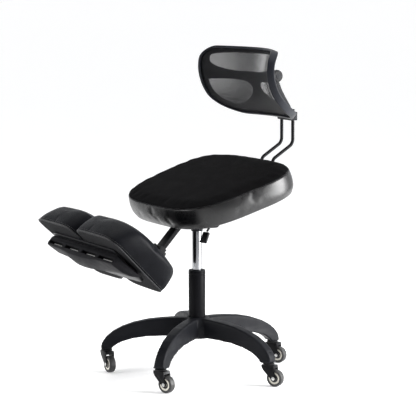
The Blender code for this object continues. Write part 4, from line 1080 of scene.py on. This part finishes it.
# ================================================================ gas lift column
lo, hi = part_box("column_tube")
profile = eased([(0, 0.1125), (0.0222, 0.1125), (0.0222, 0.3060), (0.0240, 0.3060), (0.0250, 0.3050), (0.0250, 0.2965), (0.02465, 0.2960), (0.02465, 0.2945),
                 (0.0250, 0.2940), (0.0250, 0.1108), (0.0242, 0.1100), (0, 0.1100)], 0.0004, 2)
piece("column_tube_fine", lathe("column_tube_fine", profile, 96), PAINT_TUBE, "base", "column_tube", sharp=40)
profile = eased([(0.0143, 0.3100), (0.0232, 0.3100), (0.0246, 0.3090), (0.0248, 0.3064), (0.0220, 0.3063), (0.0218, 0.2760), (0.0143, 0.2760)], 0.0006, 3, True)
piece("column_bush_fine", lathe("column_bush_fine", profile, 96, ring=True), NYLON, "base", "column_bush", sharp=40)
profile = eased([(0, 0.4365), (0.0128, 0.4365), (0.0140, 0.4352), (0.0140, 0.2200), (0.0130, 0.2190), (0, 0.2190)], 0.0005)
piece("lift_rod_fine", lathe("lift_rod_fine", profile, 96), CHROME, "lift", "lift_rod", sharp=40)
profile = eased([(0.0143, 0.4367), (0.0200, 0.4367), (0.0200, 0.4325), (0.0176, 0.4310), (0.0168, 0.4255), (0.0143, 0.4255)], 0.0006, 3, True)
piece("lift_collar_fine", lathe("lift_collar_fine", profile, 96, ring=True), NYLON, body_of("lift_collar"), "lift_collar", sharp=40)

# ================================================================ five-star base: the CAD star with its edges melted round
src = NODES["base_star"]
me = src.data.copy()
me.name = "base_star_moulded"
star = piece("base_star_moulded", me, NYLON, "base", "base_star")
shell = star.modifiers.new("even", "REMESH")
shell.mode, shell.voxel_size, shell.adaptivity = "VOXEL", 0.0021, 0.0
ease = star.modifiers.new("ease", "SMOOTH")
ease.factor, ease.iterations = 0.5, 24
me = applied(star)
me.materials.clear()
me.materials.append(NYLON)
me.polygons.foreach_set("use_smooth", [True] * len(me.polygons))

# ================================================================ castors
TIP_R, TRAIL, WHEEL_R = 0.2706, 0.022, 0.025
ARM_DEG = (92.0, 20.0, -52.0, -124.0, 164.0)
TRAIL_DEG = (27.0, 30.0, 20.0, -2.0, 232.0)
half = 0.0105
w_lo, w_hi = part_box("castor_1_tyre")
turn_x = Matrix.Rotation(math.pi / 2, 4, "X")


def swivel_matrix(i):
    a = math.radians(ARM_DEG[i])
    return Matrix.Translation((TIP_R * math.cos(a), TIP_R * math.sin(a), 0.0)) @ Matrix.Rotation(math.radians(TRAIL_DEG[i]), 4, "Z")


lo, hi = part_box("castor_3_tyre")
# width of the tyre from the CAD, square to its axle
direction = Vector((-math.sin(math.radians(TRAIL_DEG[2])), math.cos(math.radians(TRAIL_DEG[2])), 0))
reach = [v.co.dot(direction) for v in NODES["castor_3_tyre"].data.vertices]
half = (max(reach) - min(reach)) / 2

tyre_profile = eased([(0.0176, half - 0.0002), (0.0222, half), (0.0243, half - 0.0020), (0.02485, half - 0.0050), (WHEEL_R, 0.0),
                      (0.02485, -half + 0.0050), (0.0243, -half + 0.0020), (0.0222, -half), (0.0176, -half + 0.0002)], 0.0010, 4, True)
wheel_profile = eased([(0.0034, 0.0106), (0.0062, 0.0106), (0.0066, 0.0078), (0.0118, 0.0070), (0.0124, 0.0086), (0.0164, 0.0088), (0.0173, 0.0080),
                       (0.0173, -0.0080), (0.0164, -0.0088), (0.0124, -0.0086), (0.0118, -0.0070), (0.0066, -0.0078), (0.0062, -0.0106), (0.0034, -0.0106)],
                      0.0005, 3, True)
shield_profile = eased([(0.0066, 0.0080), (0.0112, 0.0080), (0.0117, 0.0074), (0.0117, 0.0068), (0.0066, 0.0068)], 0.0003, 2, True)
for i in range(5):
    place = swivel_matrix(i)
    hub = place @ Matrix.Translation((TRAIL, 0, WHEEL_R)) @ turn_x
    n = i + 1
    for part, profile, mat, slot_name, steps in (("tyre", tyre_profile, TYRE, "tyre_black", 96), ("wheel", wheel_profile, CREAM, "wheel_cream", 72)):
        me = lathe(f"castor_{n}_{part}_fine", profile, steps, ring=True)
        me.transform(hub)
        piece(me.name, me, mat, f"wheel_{n}", f"castor_{n}_{part}", sharp=50)
    for k, flip in enumerate((1, -1)):
        me = lathe(f"castor_{n}_shield_{k + 1}", [(r, z * flip) for r, z in shield_profile], 48, ring=True)
        me.transform(hub)
        piece(me.name, me, SHIELD, f"wheel_{n}", sharp=50)
    # axle bolt: hexagon head one end, locknut the other
    bm = bmesh.new()
    bm.free()
    shaft = lathe(f"castor_{n}_axle_fine", eased([(0, 0.0140), (0.0030, 0.0140), (0.0030, -0.0140), (0, -0.0140)], 0.0002, 2), 32)
    shaft.transform(hub)
    axle = piece(shaft.name, shaft, ZINC, body_of(f"castor_{n}_axle"), f"castor_{n}_axle", sharp=40)
    for k, z in enumerate((1, -1)):
        profile = eased([(0, 0.0168), (0.0022, 0.0168), (0.0026, 0.0162), (0.0046, 0.0162), (0.0056, 0.0156), (0.0056, 0.0139), (0, 0.0139)], 0.0002, 2)
        me = lathe(f"castor_{n}_bolt_{k + 1}", [(r, q * z) for r, q in profile], 6)
        me.transform(hub)
        piece(me.name, me, ZINC, body_of(f"castor_{n}_axle"), sharp=20)
    refine(f"castor_{n}_fork", PAINT, 0.0009, 2, 30, 45)
    profile = eased([(0, 0.0965), (0.0045, 0.0965), (0.0055, 0.0955), (0.0055, 0.0671), (0.0150, 0.0671), (0.0165, 0.0661), (0.0165, 0.0634), (0.0150, 0.0624),
                     (0.0055, 0.0624), (0.0055, 0.0550), (0.0050, 0.0545), (0, 0.0545)], 0.0005)
    me = lathe(f"castor_{n}_stem_fine", profile, 64)
    me.transform(place)
    piece(me.name, me, STEM, body_of(f"castor_{n}_stem"), f"castor_{n}_stem", sharp=45)

# ================================================================ floor and light
bm = bmesh.new()
bmesh.ops.create_grid(bm, x_segments=2, y_segments=2, size=60.0)
me = bpy.data.meshes.new("floor")
bm.to_mesh(me)
bm.free()
me.materials.append(FLOOR)
floor = bpy.data.objects.new("floor", me)
root.objects.link(floor)


def softbox(name, place, aim, size, power, colour=(1, 1, 1)):
    data = bpy.data.lights.new(name, "AREA")
    data.shape, data.size, data.size_y, data.energy, data.color = "RECTANGLE", size[0], size[1], power, colour
    light = bpy.data.objects.new(name, data)
    light.location = place
    light.rotation_euler = (Vector(aim) - Vector(place)).to_track_quat("-Z", "Y").to_euler()
    root.objects.link(light)
    return light


def spot(right, away, z):
    return RT * right + AW * away + Vector((0, 0, z))


softbox("key_right", spot(2.3, -0.50, 0.95), (0, 0.05, 0.5), (1.4, 2.1), 180)
softbox("fill_left", spot(-2.5, -0.6, 1.0), (0, -0.1, 0.45), (0.9, 1.5), 40)
softbox("overhead", spot(0.1, 0.7, 2.6), (0, 0.05, 0.4), (1.8, 1.6), 12)
sun_data = bpy.data.lights.new("sky", "SUN")
sun_data.energy, sun_data.angle = 1.85, math.radians(70)
sun = bpy.data.objects.new("sky", sun_data)
sun.rotation_euler = (math.radians(6), math.radians(4), 0)
root.objects.link(sun)
# surroundings: pale low down behind the object, dark on the near side as in a studio
world = bpy.data.worlds.new("studio")
scene.world = world
world.use_nodes = True
t = world.node_tree
where = t.nodes.new("ShaderNodeTexCoord")
near = t.nodes.new("ShaderNodeVectorMath")
near.operation = "DOT_PRODUCT"
near.inputs[1].default_value = AW
t.links.new(where.outputs["Generated"], near.inputs[0])
share = t.nodes.new("ShaderNodeMapRange")
share.interpolation_type = "SMOOTHSTEP"
for key, value in (("From Min", 0.10), ("From Max", 0.75), ("To Min", 0.04), ("To Max", 1.0)):
    share.inputs[key].default_value = value
t.links.new(near.outputs["Value"], share.inputs["Value"])
t.links.new(share.outputs[0], t.nodes["Background"].inputs[1])
t.nodes["Background"].inputs[0].default_value = (0.96, 0.975, 1.0, 1)
